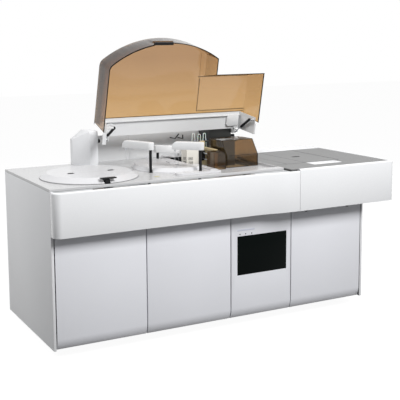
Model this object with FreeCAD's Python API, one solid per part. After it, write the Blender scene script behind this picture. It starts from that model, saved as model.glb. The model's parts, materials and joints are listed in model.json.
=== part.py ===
import FreeCAD, Part
import math
import os

V = FreeCAD.Vector

# Overall sizes, millimetres
CABINET_W = 1970.0
CABINET_D = 780.0
TOTAL_W = 2131.0
FASCIA_BOTTOM = 654.0
FASCIA_TOP = 884.0
MODULE_TOP = 893.0
DECK_TOP = 895.0
RAIL_TOP = 880.0
PAN_BOTTOM = 64.0
DOOR_BOTTOM = 62.0
DOOR_TOP = 646.0
PANEL_BOTTOM = 60.0

# Sheet, bar and gap sizes
SHEET = 2.0
SKIN = 4.0
BAR = 40.0
PANEL_T = 14.0
SEAM = 6.0
FIT = 0.3
SHADOW_GAP = 0.5
DECK_T = 10.0
DECK_SKIRT = 6.0

# Front band in plan: straight left part, S curve, prouder right part
BAND_FRONT = 68.0
BAND_STEP = 20.0
BAND_CORNER = 38.0
BAND_TURN = 1180.0
BAND_TURN_LEN = 200.0
BAND_SEAM = 1449.0
BAND_EDGE_R = 8.0
RIM_W = 14.0
LEDGE_END = 1396.0

# Right module
MODULE_CORNER = 25.0
WORKTOP_SIDE = 23.0
WORKTOP_BACK = 160.0
WORKTOP = (1402.0, TOTAL_W - WORKTOP_SIDE, -66.0, CABINET_D - WORKTOP_BACK)
WORKTOP_T = 8.0
HATCH = (1629.0, 1876.0, 118.0, 612.0)
HATCH_SLOT = (1726.0, 350.0, 15.0)
INSET = (1629.0, 1832.0, 24.0, 112.0)

# Doors and their hinges
DOOR_SEAMS = (527.0, 1045.0, 1449.0)
DOOR_SIDE_GAP = 5.0
DOOR_DEPTH = 26.0
TUCK_H = 56.0
TUCK_D = 18.0
PIN_IN = 9.0
PIN_R = 4.0
LUG_R = 7.0
LUG_T = 4.0
BRACKET_Z = (150.0, 590.0)
BRACKET_T = 5.0
WINDOW = (1087.0, 1417.0, 306.0, 530.0)
POST_Y = 30.0
FOOT_IN = 120.0
FOOT_Y = (205.0, 660.0)

# Rear panel: power inlet and vents
INLET_IN = 210.0
INLET = (CABINET_W - INLET_IN - 60.0, CABINET_W - INLET_IN, 150.0, 190.0)
VENT_X = (300.0, 1240.0)
VENT_W = 260.0

# Reagent side
REAGENT_X = 322.0
REAGENT_Y = 282.0
REAGENT_COVER_R = 266.0
REAGENT_TOP_R = 228.0
REAGENT_COVER_H = 29.0
COVER_SPLIT = 26.0
GRIP_R = 11.0
GRIP_PLACES = (-114.0, 116.0)
TUB_R = 240.0
TUB_FLOOR = 720.0
CAROUSEL_R = 232.0
PACKS = 12
LATCH = (306.0, 332.0, 12.0, 40.0)
LATCH_H = 22.0

# Incubator
INCUBATOR_X = 870.0
INCUBATOR_Y = 355.0
INCUBATOR_R = 236.0
INCUBATOR_TOP_R = 219.0
INCUBATOR_H = 26.0
INCUBATOR_CUT = 925.0
DISC_WALL = 3.5
DISC_RIM = 5.0
PORT = (836.0, 888.0, 330.0, 375.0)
PROBE_HOLE_R = 14.0
RING_X = 800.0
RING_Y = 355.0
RING_R = 115.0
RING_TOP = 874.0
RING_H = 26.0
POCKETS = 12
SHAFT_R = 12.0

# Probe arms: pivot x, y, heading in degrees, probe radius, underside, height, tip, lift
ARMS = {
    "reagent": (667.0, 230.0, 111.6, 188.0, 1022.0, 42.0, 930.0, 50.0),
    "wash": (873.0, 560.0, -46.0, 128.0, 957.0, 43.0, 926.0, 32.0),
    "sample": (900.0, 82.0, 133.0, 148.0, 1022.0, 43.0, 932.0, 50.0),
}
REAGENT_ARM_BACK = 100.0
ARM_HALF = 21.0
ARM_NOSE = 12.0
COLUMN_R = 8.0
COLUMN_FOOT = 760.0
SLEEVE_R = 4.5
SLEEVE_DROP = 14.0
NEEDLE_R = 0.9
CARRIAGE = 20.0
WELL_R = 9.5
WELL_WALL = 2.5
WELL_DEPTH = 45.0
WELL_PLATE = 64.0

# Small things standing on the deck
HUB = (963.0, 604.0, 42.0, 28.0)
TRAY_H = 12.0
TRAY = (775.0, 1008.0, 42.0, 108.0)
TRAY_BACK = (938.0, 306.0)
TRAY_STEP = (950.0, 996.0, 60.0, 290.0)
TRAY_STEP_H = 5.0
LOUVRE = (943.0, 1020.0, 318.0, 390.0, 96.0)
MIXER_X = (951.0, 981.0, 1011.0)
MIXER_Y = 524.0
MIXER_H = 28.0

# Cuvette handling in the recess at the right of the deck
RECESS = (1044.0, 1390.0, 50.0, 476.0)
RECESS_FLOOR = 880.0
HOPPER = (1162.0, 1374.0, 237.0, 446.0)
HOPPER_BEND = 70.0
HOPPER_H = 155.0
HOPPER_RAKE = 60.0
FEEDER = (1058.0, 1136.0, 205.0, 288.0)
FEEDER_H = 103.0
AMBER_WALL = 3.0
RAIL_X = 1085.0
RAILS = (957.0, 925.0)
RAIL_R = 5.0
RAIL_ENDS = (292.0, 462.0)
GRIPPER_Y = 400.0
LOADER_BACK = 1272.0
LOADER_FRONT = 330.0
LOADER_WALL = 8.0
CHUTES = ((1300.0, 1318.0), (1346.0, 1364.0))
CHUTE_Y = (250.0, 428.0)
CHUTE_H = (12.0, 34.0)
MAGAZINE = (1112.0, 1136.0, 300.0, 450.0, 105.0)
MAGAZINE_POCKET = (1109.0, 1120.0, 312.0, 438.0, 20.0, 90.0)
MAGAZINE_END = (1108.0, 1136.0, 452.0, 472.0, 140.0)
MAGAZINE_CHAMFER = 5.0

# Rear structures
TOWER_X = (398.0, 470.0, 522.0)
TOWER_Y = (CABINET_D - 144.0, CABINET_D - 45.0, CABINET_D - 12.5)
TOWER_TOP = 1098.0
WALL_TOP = 1055.0
REAR_BOX = (1270.0, 1432.0, CABINET_D - 140.0, 1006.0, 1075.0)
WALL_SEAM = (777.0, 779.0)
WALL_PLATE = (833.0, 914.0, 913.0, 962.0)
WALL_CUT = 1.5
SHELF_LEFT = 1110.0
SHELF_Y = (560.0, 600.0)
SHELF_T = 5.0
SHELF_ARM_X = (1290.0, 1400.0)
SHELF_ARM_W = 8.0
SHELF_STRIPS = ((1240.0, 1300.0), (1320.0, 1432.0))

# Cover, with plan lengths measured from its hinge line
HINGE_Y = CABINET_D - 175.0
HINGE_Z = 1074.0
OPEN_DEG = 78.0
COVER_LEFT = (481.0, 494.0)
COVER_ARC = ((494.0, 440.0), (878.0, 573.0), (1186.0, 476.0))
STEP_X = 1186.0
STEP_RIM = (1517.0, 380.0)
STEP_TOP = (1494.0, 336.0)
COVER_DEPTH = 144.0
COVER_TOP = 6.0
COVER_WALL = 4.0
CORNER_R = 46.0
CROWN_R = 7.0
BEAM_X = (545.0, 1460.0)
BEAM_S = (-8.0, 84.0)
BEAM_SEAT = 16.0
BEAM_T = 3.0
SHELL_END = (84.0, 66.0)
FLANGE_END = 60.0
GRIP = (762.0, 882.0, 22.0)
RIB_X = 1148.0
RIB_S = 118.0

# Hinge brackets, pins and the studs of the gas springs
BRACKET_X = ((572.0, 578.0), (1432.0, 1438.0))
HINGE_PIN_R = 5.0
LUG_GAP = 0.5
HINGE_LUG_T = 6.0
SPRING_X = (553.0, 1457.0)
SPRING_Y = HINGE_Y + 9.0
SPRING_Z = 1048.0
STUD_R = 4.5
STUD_S = 84.0
STUD_H = -128.0
EYE_R = 8.5
EYE_T = 8.0
TUBE_R = 8.0
ROD_R = 3.5
TUBE_LEN = 104.0

# Units and tanks on the floor pan
COOLER = (600.0, 960.0, 300.0, 640.0, 260.0)
COOLER_RIM = 40.0
CARD_CAGE = (1120.0, 1380.0, 300.0, 620.0, 420.0)
SLOT_PITCH = 34.0
CAGE_SLOTS = 5
SUPPLY_IN = 120.0
SUPPLY = (290.0, 380.0, 660.0, 180.0)
SUPPLY_SLOTS = 7
TANK_X = (120.0, 320.0)
TANK = (150.0, 180.0, 480.0, 330.0)
TANK_CHAMFER = 12.0
NECK_R = 26.0

# Origin: middle of the overall box, on the floor
ORIGIN = V(TOTAL_W / 2, (CABINET_D - BAND_FRONT - BAND_STEP) / 2, 0)


def box(x0, x1, y0, y1, z0, z1):
    return Part.makeBox(x1 - x0, y1 - y0, z1 - z0, V(x0, y0, z0))


def rod_z(x, y, z0, z1, r):
    return Part.makeCylinder(r, z1 - z0, V(x, y, z0))


def rod_x(x0, x1, y, z, r):
    return Part.makeCylinder(r, x1 - x0, V(x0, y, z), V(1, 0, 0))


def rod_y(x, y0, y1, z, r):
    return Part.makeCylinder(r, y1 - y0, V(x, y0, z), V(0, 1, 0))


def prism(points, way):
    return Part.Face(Part.makePolygon(points + points[:1])).extrude(way)


def prism_z(points, z0, z1):
    return prism([V(x, y, z0) for x, y in points], V(0, 0, z1 - z0))


def prism_x(points, x0, x1):
    return prism([V(x0, y, z) for y, z in points], V(x1 - x0, 0, 0))


def prism_y(points, y0, y1):
    return prism([V(x, y0, z) for x, z in points], V(0, y1 - y0, 0))


def join(shapes):
    body = shapes[0].multiFuse(shapes[1:]) if len(shapes) > 1 else shapes[0]
    return body.removeSplitter()


def cut(shape, tools):
    return shape.cut(Part.makeCompound(tools))


def save(node, shape):
    if isinstance(shape, list):
        shape = Part.makeCompound(shape)
    shape = shape.copy()
    shape.translate(V(-ORIGIN.x, -ORIGIN.y, 0))
    shape.exportStep("parts/" + node + ".step")


def upright_edges(shape, length):
    found = []
    for edge in shape.Edges:
        a = edge.Vertexes[0].Point
        b = edge.Vertexes[-1].Point
        upright = abs(a.x - b.x) < 0.01 and abs(a.y - b.y) < 0.01
        if upright and abs(abs(a.z - b.z) - length) < 0.01:
            found.append(edge)
    return found


def level_edges(shape, z):
    found = []
    for edge in shape.Edges:
        reach = edge.BoundBox
        if abs(reach.ZMin - z) < 0.01 and abs(reach.ZMax - z) < 0.01:
            found.append(edge)
    return found


# Edges of each door, its hinge pin line, and which side it hangs on
def door_span(index):
    side = PANEL_T + DOOR_SIDE_GAP
    seams = (side,) + DOOR_SEAMS + (CABINET_W - side,)
    x0 = seams[index] + (SEAM / 2 if index else 0)
    x1 = seams[index + 1] - (SEAM / 2 if index < 3 else 0)
    left = index == 0
    pin = x0 + PIN_IN if left else x1 - PIN_IN
    return x0, x1, pin, left


# A bracket plate from the post to the door's pin, and its upright pin
def hinge_bracket(pin, z):
    half = PIN_R + 2
    plan = [(pin - half, POST_Y + 1), (pin - half, PIN_IN - 2), (pin - half / 2, PIN_IN - half),
            (pin + half / 2, PIN_IN - half), (pin + half, PIN_IN - 2), (pin + half, POST_Y + 1)]
    plate = prism_z(plan, z, z + BRACKET_T)
    axle = rod_z(pin, PIN_IN, z + BRACKET_T - 1, z + BRACKET_T + LUG_T + 4, PIN_R)
    return [plate, axle]


# Welded steel frame on a folded floor pan
def base_frame():
    x_left = PANEL_T
    x_right = CABINET_W - PANEL_T
    y_back = CABINET_D - SKIN
    low = PAN_BOTTOM
    top0 = RAIL_TOP - BAR
    pan = box(x_left, x_right, POST_Y, y_back, low, low + BAR)
    pan = pan.cut(box(x_left + SHEET, x_right - SHEET, POST_Y + SHEET, y_back - SHEET,
                      low + SKIN, low + BAR + 1))
    bars = [pan]
    middle = DOOR_SEAMS[1] - BAR / 2
    third = DOOR_SEAMS[2] - BAR / 2
    for x0 in (x_left, middle, third, x_right - BAR):
        bars.append(box(x0, x0 + BAR, POST_Y, POST_Y + BAR, low + SKIN, top0 + 1))
    for x0 in (x_left, middle, x_right - BAR):
        bars.append(box(x0, x0 + BAR, y_back - BAR, y_back, low + SKIN, top0 + 1))
    bars.append(box(x_left, x_right, 0, POST_Y + 6, top0, RAIL_TOP))
    bars.append(box(x_left, x_right, y_back - BAR, y_back, top0, RAIL_TOP))
    for x0 in (x_left, x_right - BAR):
        bars.append(box(x0, x0 + BAR, POST_Y, y_back, top0, RAIL_TOP))
    x0 = LEDGE_END - BAR - DECK_SKIRT
    bars.append(box(x0, x0 + BAR, POST_Y, y_back, top0, RECESS_FLOOR - 3))
    x0 = WORKTOP[0] + DECK_SKIRT
    bars.append(box(x0, x0 + BAR, 0, WORKTOP[3], top0, MODULE_TOP - WORKTOP_T))
    for index in range(4):
        pin = door_span(index)[2]
        for z in BRACKET_Z:
            bars.extend(hinge_bracket(pin, z))
    return join(bars)


def levelling_feet():
    feet = []
    for x in (FOOT_IN, CABINET_W - FOOT_IN):
        for y in FOOT_Y:
            pad = Part.makeCone(30, 22, 14, V(x, y, 0))
            nut = [(x + 11 * math.cos(a), y + 11 * math.sin(a))
                   for a in [math.radians(60 * k) for k in range(6)]]
            feet.append(join([pad, prism_z(nut, 13, PAN_BOTTOM)]))
    return feet


# Side panels: shallow pans, open towards the frame
def side_panel(x0, x1, open_left):
    outer = box(x0, x1, 0, CABINET_D, PANEL_BOTTOM, RAIL_TOP)
    a = x0 - 1 if open_left else x0 + SHEET
    b = x1 - SHEET if open_left else x1 + 1
    return outer.cut(box(a, b, SHEET, CABINET_D - SHEET, PANEL_BOTTOM + SHEET,
                         RAIL_TOP - SHEET))




def rear_panel():
    y0 = CABINET_D - SKIN
    sheet = box(PANEL_T, CABINET_W - PANEL_T, y0, CABINET_D, PAN_BOTTOM, RAIL_TOP)
    tools = []
    for x in VENT_X:
        for k in range(8):
            z = 560 + 24 * k
            tools.append(box(x, x + VENT_W, y0 - 1, CABINET_D + 1, z, z + 8))
    tools.append(box(INLET[0], INLET[1], y0 - 1, CABINET_D + 1, INLET[2], INLET[3]))
    return cut(sheet, tools)


# Recessed inlet with three contact pins and a rocker switch, no cord
def power_inlet():
    x0, x1, z0, z1 = INLET
    y1 = CABINET_D - SHADOW_GAP
    body = box(x0 + FIT, x1 - FIT, y1 - 34, y1, z0 + FIT, z1 - FIT)
    body = body.cut(box(x0 + 8, x0 + 36, y1 - 22, y1 + 1, z0 + 9, z1 - 9))
    flange = box(x0 - 5, x1 + 5, CABINET_D - SKIN - 2, CABINET_D - SKIN, z0 - 5, z1 + 5)
    pins = [box(x0 + x, x0 + x + 2, y1 - 24, y1 - 6, z0 + 17, z0 + 22) for x in (14, 21, 28)]
    switch = box(x1 - 18, x1 - 5, y1 - 1, CABINET_D, z0 + 10, z1 - 10)
    return join([body, flange, switch] + pins)


# Plan outline of the front band, set in by a distance
def band_block(inset, x_end, z0, z1, y_back):
    half = BAND_TURN_LEN / 2
    r = (half ** 2 + (BAND_STEP / 2) ** 2) / BAND_STEP
    swing = math.asin(half / r)
    y_left = inset - BAND_FRONT
    y_right = inset - BAND_FRONT - BAND_STEP
    c = BAND_CORNER
    cy = c - BAND_FRONT
    rc = c - inset
    d = rc * math.sqrt(0.5)
    x1 = BAND_TURN
    x2 = BAND_TURN + BAND_TURN_LEN

    def first(angle):
        reach = r + inset
        return V(x1 + reach * math.sin(angle), reach * math.cos(angle) - BAND_FRONT - r, z0)

    def second(angle):
        reach = r - inset
        return V(x2 - reach * math.sin(angle),
                 r - BAND_FRONT - BAND_STEP - reach * math.cos(angle), z0)

    edges = [
        Part.makeLine(V(inset, y_back, z0), V(inset, cy, z0)),
        Part.Arc(V(inset, cy, z0), V(c - d, cy - d, z0), V(c, y_left, z0)).toShape(),
        Part.makeLine(V(c, y_left, z0), V(x1, y_left, z0)),
        Part.Arc(V(x1, y_left, z0), first(swing / 2), first(swing)).toShape(),
        Part.Arc(first(swing), second(swing / 2), V(x2, y_right, z0)).toShape(),
        Part.makeLine(V(x2, y_right, z0), V(x_end, y_right, z0)),
        Part.makeLine(V(x_end, y_right, z0), V(x_end, y_back, z0)),
        Part.makeLine(V(x_end, y_back, z0), V(inset, y_back, z0)),
    ]
    return Part.Face(Part.Wire(edges)).extrude(V(0, 0, z1 - z0))


def fascia_left():
    x_end = BAND_SEAM - SHADOW_GAP
    outer = band_block(0, x_end, FASCIA_BOTTOM, FASCIA_TOP, 0)
    crown = [e for e in level_edges(outer, FASCIA_TOP)
             if e.BoundBox.YMin < -BAND_CORNER / 2 and e.BoundBox.XMin < x_end - 1]
    outer = outer.makeFillet(BAND_EDGE_R, crown)
    hollow = band_block(SKIN, x_end + 9, FASCIA_BOTTOM + SKIN, FASCIA_TOP - SKIN, 9)
    mouth = band_block(RIM_W, x_end + 9, FASCIA_TOP - SKIN - 1, FASCIA_TOP + 1, 9)
    z_shelf = FASCIA_TOP - SKIN
    shelf = band_block(SKIN - 1, x_end, z_shelf - SKIN, z_shelf, 0)
    shelf = shelf.cut(band_block(RIM_W + 12, x_end + 9, z_shelf - 9, z_shelf + 9, 9))
    return join([outer.cut(hollow).cut(mouth), shelf])


def ledge_strip():
    return band_block(RIM_W + FIT, LEDGE_END, FASCIA_TOP - SKIN, FASCIA_TOP, 0)


def module_block(inset, z0, z1, x0):
    front = inset - BAND_FRONT - BAND_STEP
    block = box(x0, TOTAL_W - inset, front, CABINET_D - inset, z0, z1)
    corners = [e for e in upright_edges(block, z1 - z0) if e.BoundBox.XMin > x0 + 1]
    return block.makeFillet(MODULE_CORNER - inset, corners)


# Housing that wraps the right end, with a shelf all round its open top
def module_housing():
    x0 = BAND_SEAM + SHADOW_GAP
    outer = module_block(0, FASCIA_BOTTOM, MODULE_TOP, x0)
    crown = [e for e in level_edges(outer, MODULE_TOP) if e.BoundBox.XMax > x0 + 1]
    outer = outer.makeFillet(BAND_EDGE_R, crown)
    top = MODULE_TOP - SKIN
    hollow = module_block(SKIN, FASCIA_BOTTOM + SKIN, top, x0 - 9)
    x1, y0, y1 = WORKTOP[1:]
    mouth = box(x0 - 9, x1 + FIT, y0 - FIT, y1 + FIT, top - 9, MODULE_TOP + 9)
    under = box(x0 - 9, CABINET_W + FIT, 0, CABINET_D + 9, FASCIA_BOTTOM - 9, RAIL_TOP)
    shell = outer.cut(hollow).cut(mouth).cut(under)
    z = MODULE_TOP - WORKTOP_T
    wall = TOTAL_W - SKIN + 1
    front = SKIN - 1 - BAND_FRONT - BAND_STEP
    ledge = 12.0
    shelf = box(x0, wall - MODULE_CORNER, front, y0 + ledge, z - SKIN, z)
    side = box(x1 - ledge, wall, y0, y1, z - SKIN, z)
    back = box(x0, wall, y1 - ledge, y1 + SKIN, z - SKIN, z)
    web = box(x0, wall, y1 + FIT, y1 + SKIN, z - 1, top + 1)
    foot = box(x0, CABINET_W, CABINET_D - 4 * SKIN, CABINET_D - 2 * SKIN, RAIL_TOP, top + 1)
    return join([shell, shelf, side, back, web, foot])


def worktop_grey():
    x0, x1, y0, y1 = WORKTOP
    under = MODULE_TOP - WORKTOP_T
    top = box(x0, x1, y0, y1, under, MODULE_TOP)
    a, b, c, d = HATCH
    rebate = box(a, b, c, d, MODULE_TOP - SKIN, MODULE_TOP + 1)
    well = box(a + 12, b - 12, c + 12, d - 12, under - 1, MODULE_TOP)
    e, f, g, h = INSET
    seat = box(e, f, g, h, MODULE_TOP - SHEET, MODULE_TOP + 1)
    return cut(top, [rebate, well, seat])


# Lift-off lid with a round-ended finger slot
def hatch_lid():
    a, b, c, d = HATCH
    gap = 1.2
    lid = box(a + gap, b - gap, c + gap, d - gap, MODULE_TOP - SKIN, MODULE_TOP)
    x, y, r = HATCH_SLOT
    z0 = MODULE_TOP - 9
    z1 = MODULE_TOP + 9
    slot = [box(x - r, x + r, y - r, y + r, z0, z1)]
    slot.extend(rod_z(x + s, y, z0, z1, r) for s in (-r, r))
    return lid.cut(join(slot))


def inset_plate():
    e, f, g, h = INSET
    return box(e + FIT, f - FIT, g + FIT, h - FIT, MODULE_TOP - SHEET, MODULE_TOP)


# Door section: flat front, curving back at the foot
def door_block(x0, x1, inset):
    r = (TUCK_H ** 2 + TUCK_D ** 2) / (2 * TUCK_D)
    z_turn = DOOR_BOTTOM + TUCK_H
    z_low = DOOR_BOTTOM + inset
    drop = z_turn - z_low
    back = DOOR_DEPTH + (9 if inset else 0)
    top = DOOR_TOP - inset

    def on_arc(dz):
        return V(x0, r - math.sqrt((r - inset) ** 2 - dz ** 2), z_turn - dz)

    edges = [
        Part.makeLine(V(x0, back, z_low), V(x0, back, top)),
        Part.makeLine(V(x0, back, top), V(x0, inset, top)),
        Part.makeLine(V(x0, inset, top), V(x0, inset, z_turn)),
        Part.Arc(V(x0, inset, z_turn), on_arc(drop / 2), on_arc(drop)).toShape(),
        Part.makeLine(on_arc(drop), V(x0, back, z_low)),
    ]
    return Part.Face(Part.Wire(edges)).extrude(V(x1 - x0, 0, 0))


# Folded door pan with a lug above each frame bracket
def door(index):
    x0, x1, pin, left = door_span(index)
    parts = [door_block(x0, x1, 0).cut(door_block(x0 + SHEET, x1 - SHEET, SHEET))]
    tools = []
    for z in BRACKET_Z:
        z_lug = z + BRACKET_T + SHADOW_GAP
        a = x0 + SHEET / 2 if left else pin - LUG_R
        b = pin + LUG_R if left else x1 - SHEET / 2
        parts.append(box(a, b, SHEET / 2, PIN_IN + LUG_R, z_lug, z_lug + LUG_T))
        tools.append(rod_z(pin, PIN_IN, z_lug - 1, z_lug + LUG_T + 1, PIN_R + FIT))
        a = x0 - 1 if left else x1 - SHEET - SHADOW_GAP
        b = x0 + SHEET + SHADOW_GAP if left else x1 + 1
        tools.append(box(a, b, SHEET, DOOR_DEPTH + 1, z - SHADOW_GAP, z_lug))
    if index == 2:
        a, b, c, d = WINDOW
        tools.append(box(a, b, -1, SHEET + 1, c, d))
    return cut(join(parts), tools)


def door_window():
    a, b, c, d = WINDOW
    face = box(a + FIT, b - FIT, FIT, SHEET, c + FIT, d - FIT)
    back = box(a - 8, b + 8, SHEET, SHEET + 3, c - 8, d + 8)
    return join([face, back])


def arm_point(name, turn=0.0):
    x, y, heading, reach = ARMS[name][:4]
    a = math.radians(heading + turn)
    return x + reach * math.cos(a), y + reach * math.sin(a)


# White deck with round openings, wells and the handling recess
def deck():
    x1 = LEDGE_END
    y1 = CABINET_D - SKIN
    under = DECK_TOP - DECK_T
    top = box(0, x1, 0, y1, RAIL_TOP, DECK_TOP)
    rim = [e for e in level_edges(top, DECK_TOP) if e.BoundBox.XMin < x1 - 1]
    top = top.makeChamfer(2, rim)
    top = top.cut(box(DECK_SKIRT, x1 - DECK_SKIRT, DECK_SKIRT, y1 - DECK_SKIRT,
                      RAIL_TOP - 1, under))
    z0 = under - 1
    z1 = DECK_TOP + 1
    tools = [rod_z(REAGENT_X, REAGENT_Y, z0, z1, TUB_R - SKIN)]
    tools.append(rod_z(RING_X, RING_Y, z0, z1, RING_R + 8))
    for name in ARMS:
        x, y = ARMS[name][:2]
        tools.append(rod_z(x, y, z0, z1, COLUMN_R + 3))
        tools.append(well_square(name, WELL_PLATE / 2 + FIT, z0, z1))
    a, b, c, d = RECESS
    tools.append(box(a, b, c, d, z0, z1))
    w = 3.0
    tray = box(a - w, b + w, c - w, d + w, RECESS_FLOOR - w, under + 1)
    tray = tray.cut(box(a, b, c, d, RECESS_FLOOR, under + 9))
    return join([cut(top, tools), tray])


def well_square(name, half, z0, z1):
    x, y = arm_point(name)
    return box(x - half, x + half, y - half, y + half, z0, z1)


# Wash cups: each hangs from a square plate let into the deck
def wash_wells():
    cups = []
    for name in ARMS:
        x, y = arm_point(name)
        z0 = DECK_TOP - WELL_DEPTH
        cup = rod_z(x, y, z0, DECK_TOP, WELL_R + WELL_WALL)
        plate = well_square(name, WELL_PLATE / 2, DECK_TOP - DECK_T, DECK_TOP)
        bore = rod_z(x, y, z0 + WELL_WALL, DECK_TOP + 1, WELL_R)
        cups.append(join([cup, plate]).cut(bore))
    return cups


# Low round cover with a bevelled rim
def disc_cover(x, y, r0, r1, height):
    z0 = DECK_TOP
    z1 = z0 + height
    line = [(0, z1), (r1, z1), (r0, z0 + DISC_RIM), (r0, z0), (r0 - 2 * DISC_WALL, z0),
            (r1 - DISC_WALL, z1 - DISC_WALL), (0, z1 - DISC_WALL)]
    ring = [V(x + r, y, z) for r, z in line]
    face = Part.Face(Part.makePolygon(ring + ring[:1]))
    return face.revolve(V(x, y, 0), V(0, 0, 1), 360)


# One half of the reagent cover, split through its two finger grips
def reagent_half(front):
    cover = disc_cover(REAGENT_X, REAGENT_Y, REAGENT_COVER_R, REAGENT_TOP_R, REAGENT_COVER_H)
    far = REAGENT_COVER_R * 2
    split = REAGENT_Y - COVER_SPLIT
    gap = SHADOW_GAP if front else -SHADOW_GAP
    y = split - gap
    tools = [box(REAGENT_X - far, REAGENT_X + far, min(y, y + gap * 2 * far),
                 max(y, y + gap * 2 * far), 0, 2 * DECK_TOP)]
    for place in GRIP_PLACES:
        x = REAGENT_X + place
        tools.append(box(x - GRIP_R, x + GRIP_R, split - GRIP_R, split + GRIP_R,
                         0, 2 * DECK_TOP))
        for s in (-GRIP_R, GRIP_R):
            tools.append(rod_z(x + s, split, 0, 2 * DECK_TOP, GRIP_R))
    x0, x1, y0, y1 = LATCH
    tools.append(box(x0 - 4, x1 + 4, 0, y1 + 3, 0, 2 * DECK_TOP))
    return cover.cut(join(tools))


def lid_sensor():
    x0, x1, y0, y1 = LATCH
    z = DECK_TOP + LATCH_H
    post = box(x0, x1, y0, y1, DECK_TOP, z)
    neck = box(x0 + 4, x1 - 4, y0 + 4, y1 - 10, z - 1, z + 5)
    tab = box(x0 - 24, x1 + 34, y0 - 6, y1 - 6, z + 4, z + 10)
    return join([post, neck, tab])


def reagent_tub():
    z1 = DECK_TOP - DECK_T
    wall = rod_z(REAGENT_X, REAGENT_Y, TUB_FLOOR, z1, TUB_R)
    wall = wall.cut(rod_z(REAGENT_X, REAGENT_Y, TUB_FLOOR + SKIN, z1 + 1, TUB_R - SKIN))
    return wall.cut(rod_z(REAGENT_X, REAGENT_Y, TUB_FLOOR - 1, TUB_FLOOR + 9, SHAFT_R + 2))


# Wheel of open-topped reagent packs on one shaft
def reagent_carousel():
    z0 = TUB_FLOOR + 22
    z1 = DECK_TOP - 12
    plate = rod_z(REAGENT_X, REAGENT_Y, z0, z0 + 6, CAROUSEL_R)
    hub = rod_z(REAGENT_X, REAGENT_Y, z0, z1, 40)
    shaft = rod_z(REAGENT_X, REAGENT_Y, TUB_FLOOR - 17, z0 + 1, SHAFT_R)
    parts = [plate, hub, shaft]
    for k in range(PACKS):
        pack = box(86, CAROUSEL_R - 8, -11, 11, z0 + 5, z1)
        pack.rotate(V(0, 0, 0), V(0, 0, 1), 360.0 / PACKS * k)
        pack.translate(V(REAGENT_X, REAGENT_Y, 0))
        parts.append(pack)
    return join(parts)


def incubator_cover():
    cover = disc_cover(INCUBATOR_X, INCUBATOR_Y, INCUBATOR_R, INCUBATOR_TOP_R, INCUBATOR_H)
    z1 = DECK_TOP + INCUBATOR_H
    far = 2 * INCUBATOR_R
    tools = [box(INCUBATOR_CUT, INCUBATOR_CUT + far, 0, CABINET_D, 0, 2 * z1)]
    x, y = ARMS["wash"][:2]
    notch = ARM_HALF + 3
    tools.append(rod_z(x, y, 0, 2 * z1, notch))
    tools.append(box(x - notch, x + notch, y, y + far, 0, 2 * z1))
    x, y = ARMS["reagent"][:2]
    tools.append(rod_z(x, y, 0, 2 * z1, COLUMN_R + 3))
    for x, y in (arm_point("sample"), arm_point("reagent", -REAGENT_ARM_BACK)):
        tools.append(rod_z(x, y, 0, 2 * z1, PROBE_HOLE_R))
    reach = math.sqrt(INCUBATOR_TOP_R ** 2 - (INCUBATOR_CUT - INCUBATOR_X) ** 2) - 60
    end = box(INCUBATOR_CUT - DISC_WALL, INCUBATOR_CUT, INCUBATOR_Y - reach,
              INCUBATOR_Y + reach, DECK_TOP, z1 - 1)
    x0, x1, y0, y1 = PORT
    return join([cover.cut(join(tools)), end, box(x0, x1, y0, y1, z1 - 1, z1 + 7)])


# Ring of reaction pockets on one shaft
def incubator_ring():
    z0 = RING_TOP - RING_H
    ring = rod_z(RING_X, RING_Y, z0, RING_TOP, RING_R)
    ring = ring.cut(rod_z(RING_X, RING_Y, z0 + 6, RING_TOP + 1, RING_R - 35))
    tools = []
    for k in range(POCKETS):
        pocket = box(RING_R - 24, RING_R - 10, -7, 7, RING_TOP - 18, RING_TOP + 1)
        pocket.rotate(V(0, 0, 0), V(0, 0, 1), 360.0 / POCKETS * k)
        pocket.translate(V(RING_X, RING_Y, 0))
        tools.append(pocket)
    shaft = rod_z(RING_X, RING_Y, z0 - 40, z0 + 1, SHAFT_R)
    return join([cut(ring, tools), shaft])


# Bearing plates with motors under the tub and on a yoke under the deck, and the
# upright guide and motor behind each lifting column
def deck_drives():
    half = 60.0
    x, y, z1 = REAGENT_X, REAGENT_Y, TUB_FLOOR
    plate = box(x - half, x + half, y - half, y + half, z1 - 16, z1)
    tub_drive = join([plate, box(x - 34, x + 34, y - 34, y + 34, z1 - 60, z1 - 15)])
    tub_drive = tub_drive.cut(rod_z(x, y, z1 - 18, z1 + 1, SHAFT_R + FIT))
    x, y, z1 = RING_X, RING_Y, RING_TOP - RING_H - 20
    wide = RING_R + 27
    bridge = box(x - wide, x + wide, y - 20, y + 20, z1 - 10, z1)
    motor = box(x - 30, x + 30, y - 30, y + 30, z1 - 70, z1 - 9)
    legs = [box(a, a + 12, y - 20, y + 20, z1 - 10, DECK_TOP - DECK_T)
            for a in (x - wide, x + wide - 12)]
    ring_drive = join([bridge, motor] + legs)
    ring_drive = ring_drive.cut(rod_z(x, y, z1 - 21, z1 + 1, SHAFT_R + FIT))
    return [tub_drive, ring_drive] + arm_guides()


def arm_guides():
    guides = []
    z1 = DECK_TOP - DECK_T
    for name in ARMS:
        x, y = ARMS[name][:2]
        y0 = y + CARRIAGE + FIT
        z0 = COLUMN_FOOT - ARMS[name][7] - 30
        plate = box(x - 14, x + 14, y0, y0 + 8, z0, z1)
        foot = box(x - 24, x + 24, y0, y0 + 28, z1 - 5, z1)
        motor = box(x - 20, x + 20, y0 + 7, y0 + 44, z0, z0 + 40)
        guides.append(join([plate, foot, motor]))
    return guides


def wash_hub():
    x, y, r, height = HUB
    return rod_z(x, y, DECK_TOP, DECK_TOP + height, r)


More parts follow.
